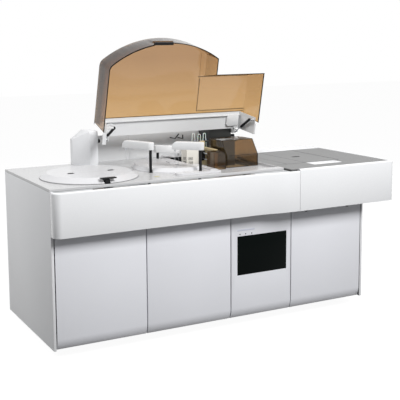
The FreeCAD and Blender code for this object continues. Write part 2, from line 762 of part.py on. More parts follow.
def low_tray():
    z0 = DECK_TOP
    z1 = z0 + TRAY_H
    x0, x1, y0, y1 = TRAY
    front = box(x0, x1, y0, y1, z0, z1)
    half = (y1 - y0) / 2
    round_end = rod_z(x0, y0 + half, z0, z1, half)
    back = box(TRAY_BACK[0], x1, y1 - 1, TRAY_BACK[1], z0, z1)
    a, b, c, d = TRAY_STEP
    step = box(a, b, c, d, z1 - 1, z1 + TRAY_STEP_H)
    x, y = ARMS["sample"][:2]
    return join([front, round_end, back, step]).cut(rod_z(x, y, z0 - 1, z1 + 9, COLUMN_R + 3))


# Small housing with two banks of slots on two faces
def louvre_box():
    x0, x1, y0, y1, height = LOUVRE
    z1 = DECK_TOP + height
    wall = 3.0
    body = box(x0, x1, y0, y1, DECK_TOP, z1)
    body = body.makeChamfer(wall / 2, upright_edges(body, height))
    body = body.cut(box(x0 + wall, x1 - wall, y0 + wall, y1 - wall, DECK_TOP - 1, z1 - wall))
    tools = []
    for z in (DECK_TOP + 12, DECK_TOP + 36):
        for k in range(4):
            zz = z + 4.6 * k
            tools.append(box(x0 + 8, x0 + 40, y0 - 1, y0 + 4, zz, zz + 2.4))
            tools.append(box(x0 - 1, x0 + 4, y0 + 10, y0 + 50, zz, zz + 2.4))
    return cut(body, tools)


# Lifting column with its carriage block
def arm_column(name):
    x, y = ARMS[name][:2]
    tube = rod_z(x, y, COLUMN_FOOT, ARMS[name][4] - FIT, COLUMN_R)
    block = box(x - CARRIAGE, x + CARRIAGE, y - 12, y + CARRIAGE,
                COLUMN_FOOT, COLUMN_FOOT + 36)
    return join([tube, block])


# Moulded arm: round back over the column, sloped nose, hollow underneath
def arm_body(name):
    x, y, heading, reach, under, height = ARMS[name][:6]
    top = under + height
    tip = reach + ARM_NOSE
    w = ARM_HALF
    body = join([box(0, tip, -w, w, under, top), rod_z(0, 0, under, top, w)])
    body = body.makeChamfer(3, level_edges(body, top))
    slope = prism_y([(tip - 20, top + 1), (tip + 1, top + 1), (tip + 1, top - 20)], -w - 1, w + 1)
    body = body.cut(slope)
    body = body.cut(box(14, tip - SKIN, SKIN - w, w - SKIN, under - 1, top - 20))
    body.rotate(V(0, 0, 0), V(0, 0, 1), heading)
    body.translate(V(x, y, 0))
    return body


def arm_probe(name):
    under, height, tip = ARMS[name][4:7]
    x, y = arm_point(name)
    sleeve = rod_z(x, y, under - SLEEVE_DROP, under + height - 20, SLEEVE_R)
    needle = rod_z(x, y, tip, under - SLEEVE_DROP + 1, NEEDLE_R)
    return join([sleeve, needle])


# Amber cover over the cuvette loader, with a raked front
def hopper_cover():
    x0, x1, y0, y1 = HOPPER
    z0 = RECESS_FLOOR
    z_bend = z0 + HOPPER_BEND
    z1 = z0 + HOPPER_H
    y_top = y0 + HOPPER_RAKE
    w = AMBER_WALL
    outer = prism_x([(y0, z0), (y0, z_bend), (y_top, z1), (y1, z1), (y1, z0)], x0, x1)
    inner = prism_x([(y0 + w, z0 - 1), (y0 + w, z_bend - 1), (y_top + w / 2, z1 - w),
                     (y1 - w, z1 - w), (y1 - w, z0 - 1)], x0 + w, x1 - w)
    return outer.cut(inner)


def hopper_loader():
    x0, x1, y0, y1 = HOPPER
    z0 = RECESS_FLOOR
    gap = AMBER_WALL + 1
    wall = LOADER_WALL
    block = box(x0 + gap, LOADER_BACK, LOADER_FRONT, y1 - gap, z0, z0 + HOPPER_H - 10)
    bowl = box(x0 + gap + wall, LOADER_BACK - wall, LOADER_FRONT + wall, y1 - gap - wall,
               z0 + HOPPER_BEND, z0 + HOPPER_H)
    a, b = CHUTE_Y
    side = [(a, z0), (a, z0 + CHUTE_H[0]), (b, z0 + CHUTE_H[1]), (b, z0)]
    chutes = [prism_x(side, left, right) for left, right in CHUTES]
    return [block.cut(bowl)] + chutes


def feeder_cover():
    x0, x1, y0, y1 = FEEDER
    z0 = RECESS_FLOOR
    z1 = z0 + FEEDER_H
    w = AMBER_WALL
    outer = [(x0, z0), (x0, z1), (x1 - 16, z1), (x1, z1 - 27), (x1, z0)]
    inner = [(x0 + w, z0 - 1), (x0 + w, z1 - w), (x1 - 16 - w / 2, z1 - w),
             (x1 - w, z1 - 27 - w / 2), (x1 - w, z0 - 1)]
    return prism_y(outer, y0, y1).cut(prism_y(inner, y0 + w, y1 - w))


# Two round rails between end plates, and the gripper that runs on them
def transfer_rails():
    z0 = RECESS_FLOOR
    parts = []
    for y in RAIL_ENDS:
        parts.append(box(RAIL_X - 12, RAIL_X + 12, y, y + 8, z0, RAILS[0] + 14))
    for z in RAILS:
        parts.append(rod_y(RAIL_X, RAIL_ENDS[0] + 4, RAIL_ENDS[1] + 4, z, RAIL_R))
    return join(parts)


def gripper():
    y = GRIPPER_Y
    half = 16.0
    block = box(RAIL_X - half, RAIL_X + half, y - 18, y + 18, RAILS[1] - 12, RAILS[0] + 12)
    jaws = [box(RAIL_X - half, RAIL_X - half + 5, a, a + 10, RECESS_FLOOR + 8, RAILS[1] - 11)
            for a in (y - 14, y + 4)]
    bores = [rod_y(RAIL_X, y - 30, y + 30, z, RAIL_R + FIT) for z in RAILS]
    return cut(join([block] + jaws), bores)


def cuvette_magazine():
    z0 = RECESS_FLOOR
    x0, x1, y0, y1, height = MAGAZINE
    wall = box(x0, x1, y0, y1, z0, z0 + height)
    a, b, c, d, low, high = MAGAZINE_POCKET
    pocket = box(a, b, c, d, z0 + low, z0 + high)
    x0, x1, y0, y1, height = MAGAZINE_END
    tall = box(x0, x1, y0, y1, z0, z0 + height)
    across = [e for e in level_edges(tall, z0 + height) if e.BoundBox.YLength < 1]
    return [wall.cut(pocket), tall.makeChamfer(MAGAZINE_CHAMFER, across)]


def mixer_motors():
    return [rod_z(x, MIXER_Y, DECK_TOP, DECK_TOP + MIXER_H, 13) for x in MIXER_X]


# Left tower: slanting left shoulder and chamfered front
def tower():
    a, b, c = TOWER_X
    front, side, back = TOWER_Y
    plan = [(b, front), (c, front), (c, back), (a, back), (a, side)]
    body = prism_z(plan, DECK_TOP, TOWER_TOP)
    z = TOWER_TOP
    shoulder = prism_y([(a - 9, z - 58), (a - 9, z + 9), (b, z + 9), (b, z)], front - 9, back + 9)
    brow = prism_x([(front - 1, z - 14), (front - 1, z + 9), (front + 14, z + 9)], a - 9, c + 9)
    return body.cut(shoulder).cut(brow)


def rear_wall():
    x0 = TOWER_X[2]
    y0 = TOWER_Y[2]
    y1 = CABINET_D - SKIN
    wall = box(x0, REAR_BOX[1], y0, y1, DECK_TOP, WALL_TOP)
    a, b = WALL_SEAM
    seam = box(a, b, y0 - 1, y0 + WALL_CUT, DECK_TOP - 5, WALL_TOP + 5)
    a, b, c, d = WALL_PLATE
    return cut(wall, [box(a, b, y0 - 1, y0 + WALL_CUT, c, d), seam])


def rear_box():
    x0, x1, y0, z0, z1 = REAR_BOX
    y1 = TOWER_Y[2]
    return join([box(x0, x1, y0, y1, z0, z1), box(x0 + 14, x1 - 12, y0 + 20, y1, DECK_TOP, z0 + 1)])


def hand_knobs():
    c, front = TOWER_X[2], TOWER_Y[0]
    x1, y0, z0 = REAR_BOX[1:4]
    plate_x = BRACKET_X[1][1]
    lower = rod_x(x1, x1 + 28, y0 + 12, z0 + 8, 10)
    upper = rod_x(plate_x, plate_x + 24, y0, z0 + 38, 12)
    return [rod_x(c, c + 14, front + 12, HINGE_Z - 37, 11), lower, upper]


def shelf_plate():
    x1, y0, z0 = REAR_BOX[1:4]
    z = z0 - 4
    front, back = SHELF_Y
    under = z - SHELF_T
    wide = SHELF_ARM_W
    plate = box(SHELF_LEFT, x1 + 8, front, back, under, z)
    arms = [box(x, x + wide, back - 1, y0 + 20, z - 12, z) for x in SHELF_ARM_X]
    drops = [box(x, x + wide, y0, y0 + 20, z - 42, z) for x in SHELF_ARM_X]
    strips = [box(a, b, front + 6, back - 4, z - 16, under) for a, b in SHELF_STRIPS]
    return join([plate] + arms + drops + strips)


# Plates that carry the cover's hinge pins and the springs' lower studs
def cover_brackets():
    y, z = HINGE_Y, HINGE_Z
    foot = REAR_BOX[2] + 50
    side = [(y - 5, z + 10), (y + 7, z + 10), (foot, z - 8), (foot, z - 34), (y + 35, z - 38),
            (y + 1, z - 38), (y - 11, z)]
    solids = []
    for (x0, x1), x_spring, way in zip(BRACKET_X, SPRING_X, (-1, 1)):
        reach = abs(x_spring - (x0 if way < 0 else x1)) + EYE_T / 2 + 1
        a = x0 - reach if way < 0 else x1 - 1
        b = x0 + 1 if way < 0 else x1 + reach
        pin_out = HINGE_LUG_T + 3
        parts = [prism_x(side, x0, x1)]
        parts.append(rod_x(x0 - pin_out, x1 + pin_out, y, z, HINGE_PIN_R))
        parts.append(rod_x(a, b, SPRING_Y, SPRING_Z, STUD_R))
        if way < 0:
            parts.append(box(TOWER_X[2], x0 + 1, foot - 28, foot, z - 34, z - 10))
        solids.append(join(parts))
    return solids


# Plan outline of the cover's main part: slanted left side, bowed front
def cover_main(inset, z0, z1):
    s0 = 60.0
    x_a, x_b = [x + inset for x in COVER_LEFT]
    arc = [V(x, inset - s, z0) for x, s in COVER_ARC]
    arc[0].x = x_b
    arc[2].x = STEP_X - inset
    edges = [
        Part.makeLine(V(x_a, -s0, z0), arc[0]),
        Part.Arc(arc[0], arc[1], arc[2]).toShape(),
        Part.makeLine(arc[2], V(STEP_X - inset, -s0, z0)),
        Part.makeLine(V(STEP_X - inset, -s0, z0), V(x_a, -s0, z0)),
    ]
    return Part.Face(Part.Wire(edges)).extrude(V(0, 0, z1 - z0))


# Shorter right part, whose front and right walls lean inwards
def cover_step(inset, z0, z1):
    s0 = 60.0
    x_in = STEP_X - 60.0

    def level(z):
        t = (z + COVER_DEPTH) / (COVER_DEPTH + COVER_TOP)
        x = STEP_RIM[0] + (STEP_TOP[0] - STEP_RIM[0]) * t - inset
        s = STEP_RIM[1] + (STEP_TOP[1] - STEP_RIM[1]) * t - inset
        ring = [V(x_in, -s0, z), V(x_in, -s, z), V(x, -s, z), V(x, -s0, z)]
        return Part.makePolygon(ring + ring[:1])

    return Part.makeLoft([level(z0), level(z1)], True, True)


def cover_solid():
    z0 = -COVER_DEPTH
    main = cover_main(0, z0, COVER_TOP)
    corner = [e for e in upright_edges(main, COVER_DEPTH + COVER_TOP)
              if e.BoundBox.XMax < COVER_LEFT[1] + 1 and e.BoundBox.YMax < -100]
    main = main.makeFillet(CORNER_R, corner)
    body = join([main, cover_step(0, z0, COVER_TOP)])
    crown = [e for e in level_edges(body, COVER_TOP) if e.BoundBox.YMin < -61]
    return body.makeFillet(CROWN_R, crown)


def cover_hollow():
    z0 = -COVER_DEPTH - 1
    z1 = COVER_TOP - COVER_WALL
    main = cover_main(COVER_WALL, z0, z1)
    corner = [e for e in upright_edges(main, z1 - z0)
              if e.BoundBox.XMax < COVER_LEFT[1] + COVER_WALL + 1 and e.BoundBox.YMax < -100]
    main = main.makeFillet(CORNER_R - COVER_WALL, corner)
    return join([main, cover_step(COVER_WALL, z0, z1)])


# Amber cover shell: one moulding with a bowed front, a stepped right part,
# slanting hinge-end cuts, a grip notch with a lip, and two stiffening ribs
def hood_shell():
    shell = cover_solid().cut(cover_hollow())
    top = COVER_TOP + 1
    rim = -COVER_DEPTH - 1
    behind = 99.0
    hinge_end = [V(0, behind, top), V(0, -SHELL_END[0], top), V(0, -SHELL_END[1], rim),
                 V(0, behind, rim)]
    shell = shell.cut(prism(hinge_end, V(TOTAL_W, 0, 0)))
    x0, x1, height = GRIP
    front = COVER_ARC[1][1]
    shell = shell.cut(box(x0, x1, -front - 9, -front + 40, -COVER_DEPTH - 1,
                          height - COVER_DEPTH))
    z = height + 2 - COVER_DEPTH
    lip = box(x0 - 4, x1 + 4, -front - 7, -front + COVER_WALL, z, z + 6)
    rib_z0 = COVER_TOP - COVER_WALL - 3
    along = box(RIB_X, RIB_X + 5, -COVER_ARC[2][1], -RIB_S, rib_z0, rib_z0 + 4)
    across = box(RIB_X, STEP_TOP[0] - COVER_WALL, -RIB_S - 5, -RIB_S, rib_z0, rib_z0 + 4)
    return join([shell, lip, along, across])


# Slanting end cheek of the cover frame
def cheek(x_top, x_rim, z0, z1):
    t = SHEET if x_rim > x_top else -SHEET
    s0, s1 = BEAM_S
    ring = [V(x_top, -s0, z1), V(x_top + t, -s0, z1), V(x_rim + t, -s0, z0), V(x_rim, -s0, z0)]
    return prism(ring, V(0, s0 - s1 - BEAM_SEAT, 0))


def cheek_x(side, height):
    top = COVER_TOP - COVER_WALL
    rim = SHEET - COVER_DEPTH
    x_rim = (COVER_LEFT[0] + 20, STEP_RIM[0] - 27)[side]
    return BEAM_X[side] + (x_rim - BEAM_X[side]) * (top - height) / (top - rim)


# Pressed steel frame under the cover: beam, cheeks, flanges, hinge lugs, spring studs
def hood_frame():
    seat = COVER_TOP - COVER_WALL
    s0, s1 = BEAM_S
    far = s1 + BEAM_SEAT
    x0, x1 = BEAM_X
    z_rim = SHEET - COVER_DEPTH
    left, right = cheek_x(0, z_rim), cheek_x(1, z_rim)
    parts = [box(x0, x1, -far, -s0, seat - BEAM_T, seat)]
    parts.append(box(x0, x1, 2 - s1, 5 - s1, seat - 16, seat - 2))
    parts.append(cheek(x0, left, z_rim, seat))
    parts.append(cheek(x1, right, z_rim, seat))
    parts.append(box(left - 22, left, -FLANGE_END, -s0, z_rim, z_rim + SHEET))
    parts.append(box(right, right + 10, -FLANGE_END, -s0, z_rim, z_rim + SHEET))
    notch = HINGE_LUG_T + 3
    tools = [box(a - notch, b + notch, -18, 20, -60, 60) for a, b in BRACKET_X]
    parts = [cut(join(parts), tools)]
    for a, b in BRACKET_X:
        for x in (a - HINGE_LUG_T - LUG_GAP, b + LUG_GAP):
            lug = prism_x([(-30, seat - 1), (-30, -8), (-6, -10), (4, -10), (10, -4), (10, 4),
                           (4, 10), (-6, 10), (-12, seat - 1)], x, x + HINGE_LUG_T)
            hole = rod_x(x - 1, x + HINGE_LUG_T + 1, 0, 0, HINGE_PIN_R + FIT)
            parts.append(lug.cut(hole))
    reach = EYE_T / 2 + LUG_GAP
    parts.append(rod_x(cheek_x(0, STUD_H) - 1, SPRING_X[0] - reach, -STUD_S, STUD_H, STUD_R))
    parts.append(rod_x(SPRING_X[1] + reach, cheek_x(1, STUD_H) + 1, -STUD_S, STUD_H, STUD_R))
    return join(parts)


def open_cover(shape):
    placed = shape.copy()
    placed.rotate(V(0, 0, 0), V(1, 0, 0), -OPEN_DEG)
    placed.translate(V(0, HINGE_Y, HINGE_Z))
    return placed


# Length and angle of an open gas spring, from its fixed stud to the cover's
def spring_line():
    a = math.radians(OPEN_DEG)
    dy = HINGE_Y - STUD_S * math.cos(a) + STUD_H * math.sin(a) - SPRING_Y
    dz = HINGE_Z + STUD_S * math.sin(a) + STUD_H * math.cos(a) - SPRING_Z
    return math.hypot(dy, dz), math.degrees(math.atan2(dz, dy))


def place_spring(shape, x):
    placed = shape.copy()
    placed.rotate(V(0, 0, 0), V(1, 0, 0), spring_line()[1])
    placed.translate(V(x, SPRING_Y, SPRING_Z))
    return placed


# Rod with its eye on the fixed stud, drawn along +Y
def spring_rod(x):
    eye = rod_x(-EYE_T / 2, EYE_T / 2, 0, 0, EYE_R)
    body = join([eye, rod_y(0, 6, 108, 0, ROD_R)])
    return place_spring(body.cut(rod_x(-EYE_T, EYE_T, 0, 0, STUD_R + FIT)), x)


# Tube with its end beside the cover's stud
def spring_tube(x):
    length = spring_line()[0]
    eye = rod_x(-EYE_T / 2, EYE_T / 2, length, 0, EYE_R)
    tube = rod_y(0, length - TUBE_LEN - 6, length - 6, 0, TUBE_R)
    bore = rod_y(0, length - TUBE_LEN - 7, length - 18, 0, ROD_R + FIT)
    return place_spring(join([eye, tube]).cut(bore), x)


# Boxes on the floor pan behind doors 2, 3 and 4: cooler, card cage, power supply
def service_units():
    z0 = PAN_BOTTOM + SKIN
    x0, x1, y0, y1, height = COOLER
    cooler = box(x0, x1, y0, y1, z0, z0 + height)
    cooler = cooler.cut(box(x0 + COOLER_RIM, x1 - COOLER_RIM, y0 - 1, y0 + 6,
                            z0 + COOLER_RIM, z0 + height - COOLER_RIM))
    x0, x1, y0, y1, height = CARD_CAGE
    cage = box(x0, x1, y0, y1, z0, z0 + height)
    slots = [z0 + 60 + SLOT_PITCH * k for k in range(CAGE_SLOTS)]
    cage = cut(cage, [box(x0 + 30, x1 - 30, y0 - 1, y0 + 3, z, z + 14) for z in slots])
    wide, y0, y1, height = SUPPLY
    x1 = CABINET_W - SUPPLY_IN
    x0 = x1 - wide
    supply = box(x0, x1, y0, y1, z0, z0 + height)
    slots = [x0 + 20 + SLOT_PITCH * k for k in range(SUPPLY_SLOTS)]
    supply = cut(supply, [box(x, x + 16, y0 - 1, y0 + 4, z0 + 50, z0 + height - 50)
                          for x in slots])
    return [cooler, cage, supply]


def fluid_tanks():
    tanks = []
    z0 = PAN_BOTTOM + SKIN
    wide, y0, y1, height = TANK
    for x in TANK_X:
        tank = box(x, x + wide, y0, y1, z0, z0 + height)
        tank = tank.makeChamfer(TANK_CHAMFER, upright_edges(tank, height))
        neck = rod_z(x + wide / 2, (y0 + y1) / 2, z0 + height - 1, z0 + height + 26, NECK_R)
        tanks.append(join([tank, neck]))
    return tanks


def cabinet_parts():
    save("base_frame", base_frame())
    save("levelling_feet", levelling_feet())
    save("side_panel_left", side_panel(0, PANEL_T, False))
    save("side_panel_right", side_panel(CABINET_W - PANEL_T, CABINET_W, True))
    save("rear_panel", rear_panel())
    save("power_inlet", power_inlet())
    save("fascia_left", fascia_left())
    save("ledge_strip", ledge_strip())
    save("module_housing", module_housing())
    save("worktop_grey", worktop_grey())
    save("hatch_lid", hatch_lid())
    save("inset_plate", inset_plate())
    for index in range(4):
        save("door_%d" % (index + 1), door(index))
    save("door_window", door_window())
    save("service_units", service_units())
    save("fluid_tanks", fluid_tanks())


def deck_parts():
    save("deck", deck())
    save("wash_wells", wash_wells())
    save("reagent_cover_front", reagent_half(True))
    save("reagent_cover_rear", reagent_half(False))
    save("lid_sensor", lid_sensor())
    save("reagent_tub", reagent_tub())
    save("reagent_carousel", reagent_carousel())
    save("incubator_cover", incubator_cover())
    save("incubator_ring", incubator_ring())
    save("deck_drives", deck_drives())
    save("wash_hub", wash_hub())
    save("low_tray", low_tray())
    save("louvre_box", louvre_box())
    save("mixer_motors", mixer_motors())
    for name in ARMS:
        save(name + "_arm_column", arm_column(name))
        save(name + "_arm", arm_body(name))
        save(name + "_probe", arm_probe(name))


def handling_parts():
    save("hopper_cover", hopper_cover())
    save("hopper_loader", hopper_loader())
    save("feeder_cover", feeder_cover())
    save("transfer_rails", transfer_rails())
    save("gripper", gripper())
    save("cuvette_magazine", cuvette_magazine())


def rear_parts():
    save("tower", tower())
    save("rear_wall", rear_wall())
    save("rear_box", rear_box())
    save("hand_knobs", hand_knobs())
    save("shelf_plate", shelf_plate())
    save("cover_brackets", cover_brackets())


def cover_parts():
    save("hood_frame", open_cover(hood_frame()))
    save("hood_shell", open_cover(hood_shell()))
    for side, x in zip(("left", "right"), SPRING_X):
        save("spring_rod_" + side, spring_rod(x))
        save("spring_tube_" + side, spring_tube(x))


os.makedirs("parts", exist_ok=True)
cabinet_parts()
deck_parts()
handling_parts()
rear_parts()
cover_parts()
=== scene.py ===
"""Looks of the floor-standing immunoassay analyzer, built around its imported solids."""

import json
import math

import bpy
from bpy.props import FloatProperty, FloatVectorProperty, PointerProperty
from mathutils import Matrix, Vector


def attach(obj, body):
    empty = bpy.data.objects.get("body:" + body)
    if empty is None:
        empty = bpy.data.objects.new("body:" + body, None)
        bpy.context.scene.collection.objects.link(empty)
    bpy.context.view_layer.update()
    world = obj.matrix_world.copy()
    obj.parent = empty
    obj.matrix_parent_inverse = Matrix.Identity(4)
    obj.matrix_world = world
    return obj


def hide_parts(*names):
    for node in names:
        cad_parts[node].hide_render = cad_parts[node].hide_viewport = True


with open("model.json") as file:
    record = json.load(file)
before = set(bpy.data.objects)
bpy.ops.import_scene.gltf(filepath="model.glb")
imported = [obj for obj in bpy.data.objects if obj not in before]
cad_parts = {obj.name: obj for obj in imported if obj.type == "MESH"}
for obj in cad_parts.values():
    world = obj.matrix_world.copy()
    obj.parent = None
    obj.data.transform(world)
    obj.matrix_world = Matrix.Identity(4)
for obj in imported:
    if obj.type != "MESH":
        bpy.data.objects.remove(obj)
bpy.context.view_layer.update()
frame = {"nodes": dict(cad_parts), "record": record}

bl_info = {
    "name": "Immunoassay analyzer",
    "version": (1, 0, 0),
    "blender": (4, 5, 0),
    "location": "3D View > Sidebar > Analyzer",
    "description": "Finishes and fine detail of a floor-standing immunoassay analyzer",
    "category": "Add Mesh",
}

# The cabinet's own millimetres: left panel X 0, door plane Y 0, floor Z 0
MM = 0.001
ORIGIN = Vector((1065.5, 346.0, 0.0))

# The shut cover's own millimetres: X, length from the hinge, height over the hinge
COVER_HINGE = (605.0, 1074.0)
COVER_OPEN = math.radians(78)
COVER_RIM = -144.0
COVER_END = 84.0
COVER_RIM_LINE = ((483, 70), (495, 418), (499, 435), (506, 444), (513, 452), (572, 491),
                  (636, 523), (704, 547), (762, 561))
CROWN_POINTS = 7
SAWN_BAND = 4.0
STEP_X = 1140.0
WALL_END_X = 1150.0
RIB_Z = (-2.0, 1.9)
RIB_END = 125.0
UPRIGHT = 0.5
SLANTED = 0.7
# Painted shade: a black block that darkens the cover grip's notch
GRIP_SHADE = ((764, 576, COVER_RIM + 0.5), (880, 560, COVER_RIM + 21))
GRIP_SHADE_EDGE = 3.0
CAP_AT = (578, 44, -1.5)
CAP_SIDES = 40
CAP_STEPS = ((5, 1.0), (3, 0.9), (0, 0.62), (-2, 0.55), (0, 0.3))
PAD = ((1366, 80, -15), (1452, 12, -1.5))
PAD_MIDDLE = 1400.0
PAD_CORNER = 16.0
PAD_EDGE = 2.0
BALL_AT = (1464, 84, -128)
BALL_NECK = 2.5
BALL_STEPS = ((1, 5), (2, 7.4), (3, 8.6), (3, 8.6), (3, 7.4), (2, 5), (1, BALL_NECK))
RIM_ROD = 2.4
RIM_LIFT = 1.6
CROWN_ROD = 1.3
CROWN_Z = 2.6
SHADOW_LINE_ROD = 1.6
END_LINES = (((485, 85, CROWN_Z), (485, 68, -140)), ((1492, 85, CROWN_Z), (1514, 68, -140)))
# Painted shadow: dark lines along the beam's top edge, the rib and the step
FOOT_LINE = ((498, 103, 0.6), (1486, 103, 0.6))
RIB_LINE = ((1151, 320, -1.2), (1151, 119, -1.2), (1486, 119, -1.2))
STEP_LINE = ((1140, 333, CROWN_Z), (1490, 333, CROWN_Z))

# Side panels and front
LEFT_SCREW_X = 0.8
LEFT_SCREWS = ((160, 836), (650, 836), (170, 116), (660, 116))
RIGHT_SCREW_X = 1969.0
RIGHT_SCREWS = ((160, 600), (650, 600), (170, 116), (660, 116))
HEAD_STEPS = ((0.6, 1.0), (0, 0.86), (-0.4, 0.7), (0, 0.4), (-1.2, 0.4))
STRIP = ((1087, -0.6, 559.5), (1200, 0.6, 568.5))
STRIP_EDGE = 0.4
LAMP_X = (1104, 1141, 1181)
LAMP_Y = 0.3
LAMP_Z = 541.0
LAMP_R = 3.5
LAMP_STEPS = ((0.6, LAMP_R), (0.4, 2.6))
CATCH_X = (1510, 1805)
CATCH_HALF = 7.0
CATCH_Y = (-64, -52)
CATCH_Z = (641, 654.5)
CATCH_EDGE = 2.0

# Deck and worktop
FINGER_X = (208, 438)
FINGER_HALF = 15.0
FINGER_Y = (248, 264)
FINGER_Z = (921, 926.6)
FINGER_EDGE = 2.4
SLOT_AT = (1726, 350, 889)
SLOT_R = 14.6
SLOT_STEPS = ((1.2, SLOT_R), (0, 13), (-0.8, 12))
# Painted shadow: a dark ring round the reagent cover's foot on the deck
FOOT_SHADOW_MIDDLE = (322, 282)
FOOT_SHADOW_R = 266.6
FOOT_SHADOW_Z = 895.6
FOOT_SHADOW_PARTS = 40
FOOT_SHADOW_ROD = 1.1
LOUVRE_CORE = ((947, 322, 900), (1016, 386, 984))
SEAM_Z = (892.6, 893.3)
SEAMS = ((1627, 118, 1629, 612), (1876, 118, 1878, 612), (1626.8, 116, 1878.2, 118.2),
         (1626.8, 611.8, 1878.2, 614), (1402, 117, 1627, 118.6), (1500, 118, 1501.6, 618))
DECK_SCREW_Z = 894.8
DECK_SCREW_SHARE = 0.8
DECK_SCREW_STEPS = ((0.8, DECK_SCREW_SHARE), (0.5, 0.6), (0, 0.35), (-0.8, 0.3))
DECK_SCREW_SIDES = 16
DECK_SCREWS = ((560, 20), (700, 20), (1010, 22), (1100, 24), (1180, 24), (1300, 24),
               (1372, 24), (1372, 500), (24, 24), (24, 740), (700, 740), (1372, 740),
               (620, 500), (560, 120), (745, 140), (1030, 230))
MARKER_AT = (637, 92, 894.9)
MARKER_R = 17.0
MARKER_STEPS = ((0.4, MARKER_R), (0.2, 15))
MARKER_SQUASH = 0.75
MARKER_SIDES = 6

# Pipes, hooks and the dark edges of the loader's covers
PIPES = ((1140, 22, 1046), (1180, 24, 1040), (1218, 22, 1044))
PIPE_Y = 622.0
PIPE_FOOT = 893.0
PIPE_BEND = 30.0
PIPE_LEAN = 2.0
PIPE_ROD = 2.4
HOOKS = (((1090, 700, 1041), (1064, 700, 1013), (1064, 768, 1013)),
         ((1118, 700, 1034), (1118, 700, 1010), (1118, 768, 1010)))
HOOK_ROD = 3.5
LOADER_X = (1163, 1373)
LOADER_SIDE = ((237, 880.5), (237, 950), (297, 1034), (446, 1034), (446, 880.5))
LOADER_RIDGES = ((237.6, 950), (297, 1034), (445, 1034), (238, 881.6))
FEEDER_Y = (206, 287)
FEEDER_FRONT = ((1059, 881), (1059, 982), (1120, 982), (1135, 956), (1135, 881))
FEEDER_RIDGES = ((1120, 982), (1135, 956))
EDGE_ROD = 1.2

# Mesh work
SMOOTH_ANGLE = math.radians(32)
FLAT_ANGLE = math.radians(1)
BAND_ANGLE = 35
SHELL_ANGLE = 40
MERGE = 0.01 * MM
EDGE_SEGMENTS = 2
ROD_SEGMENTS = 3
POST_SEGMENTS = 6

# Finishes: patterns and relief in millimetres, heights of the acrylic's painted top shade in
# metres
FINE_DETAIL = 2.0
BROAD_PATCH = 1000 / 3
BROAD_DETAIL = 3.0
NOISE_SPAN = (0.3, 0.7)
GLOSS_SPREAD = 0.05
GLOSS_FLOOR = 0.01
RELIEF = 0.4
TOP_SHADE_FROM = 1.12
TOP_SHADE_TO = 1.52
CLOUD_PATCH = 1000 / 2.2
CLOUD_LOW = 0.93
HAZE_SPREAD = 0.06
ACRYLIC_IOR = 1.49
LEDGE_LEAN = (0, -0.12, 0)
SPECK_GRAIN = 1.2
SPECK_VARY = 0.08
SPECK_EDGE = (0.12, 0.2)

# Stage, in metres
FLOOR = 40
PAPER_LIT = (0.1, 0.1, 0.1, 1)
PAPER_SEEN = (0.9, 0.9, 0.9, 1)
PAPER_GLOW = 1.1
GLOW_SHARE = 0.86
WHITE = (1, 1, 1, 1)
SKY = 0.25
LIGHTS = (("key", (0.3, -3.6, 3.9), (0.1, 0, 0.7), 1.8, 245),
          ("left", (-3.9, 1.1, 3.8), (-1, 0.1, 1.0), 1.4, 100),
          ("back", (2.8, 4.2, 2.6), (0.4, 0.4, 0.6), 1.8, 85))

# Camera: place in cabinet millimetres, turns in degrees, lens in the frame's own pixels
CAMERA_AT = (-1336, -3941, 1626)
CAMERA_YAW = 26.92
CAMERA_PITCH = 7.57
CAMERA_ROLL = 0.62
FRAME_PX = 400
FOCAL_PX = 845.8
MIDDLE_PX = (169.0, 151.6)
SENSOR = 36


def cover_turn():
    """Turns and moves a piece built in the shut cover's frame, in metres, to the open cover."""
    c, d = math.cos(COVER_OPEN), math.sin(COVER_OPEN)
    hinge = place(0, *COVER_HINGE)
    return Matrix(((1, 0, 0, hinge.x), (0, c, d, hinge.y), (0, -d, c, hinge.z), (0, 0, 0, 1)))


def cover_point(x, along, up):
    """A point of the shut cover in metres: X, minus the length from the hinge, height."""
    return Vector((x, -along, up)) * MM


def place(x, y, z):
    """A point of the cabinet in the shared frame's metres."""
    return (Vector((x, y, z)) - ORIGIN) * MM


def cover_frame(point):
    """A point's place in the shut cover's frame, in millimetres."""
    return cover_turn().inverted() @ point / MM


def linear(hex_colour):
    """sRGB hex to the linear values that Blender's sockets take."""
    parts = [int(hex_colour[i:i + 2], 16) / 255 for i in (1, 3, 5)]
    return [c / 12.92 if c <= 0.04045 else ((c + 0.055) / 1.055) ** 2.4 for c in parts]


def colour(name, about, default):
    return FloatVectorProperty(name=name, description=about, default=linear(default),
                               subtype="COLOR", size=3, min=0, max=1)


def size(name, about, default):
    return FloatProperty(name=name, description=about, default=default * MM, unit="LENGTH",
                         subtype="DISTANCE", min=0)


class AnalyzerColours(bpy.types.PropertyGroup):
    cabinet: colour("Cabinet", "Powder coat of the cabinet's panels", "#E4E5E7")
    doors: colour("Doors", "Paint of the service doors", "#DCDDE2")
    fascia: colour("Fascia", "Moulded front band and right module", "#EDEEF0")
    # Painted shade: the deck's own grey, darkened further for the light that falls on its top
    deck: colour("Deck", "Moulded deck plate", "#BDBDBE")
    covers: colour("Deck covers", "Moulded round covers and boxes on the deck", "#CECED0")
    arms: colour("Arms", "Moulded covers of the probe arms", "#DADBDC")
    worktop: colour("Worktop", "Laminate of the right worktop", "#686868")
    ledge: colour("Ledge", "Polished strip in front of the deck", "#C4C6C8")
    amber: colour("Amber", "Tinted clear acrylic of the covers", "#DCB57F")
    brown: colour("Brown", "Darker acrylic of the loader covers", "#B39870")
    cream: colour("Cream", "Moulded cuvette magazine", "#B5A57F")
    black: colour("Black", "Moulded and anodised black parts", "#17181A")
    steel: colour("Steel", "Ground steel shafts and needles", "#C3C6C9")
    zinc: colour("Zinc", "Galvanised sheet of the inner units", "#A3A7AA")
    tank: colour("Tank", "Polyethylene fluid tanks", "#E2E5E2")
    housing: colour("Housing", "Dark grey paint of the rear units", "#2C2D2C")


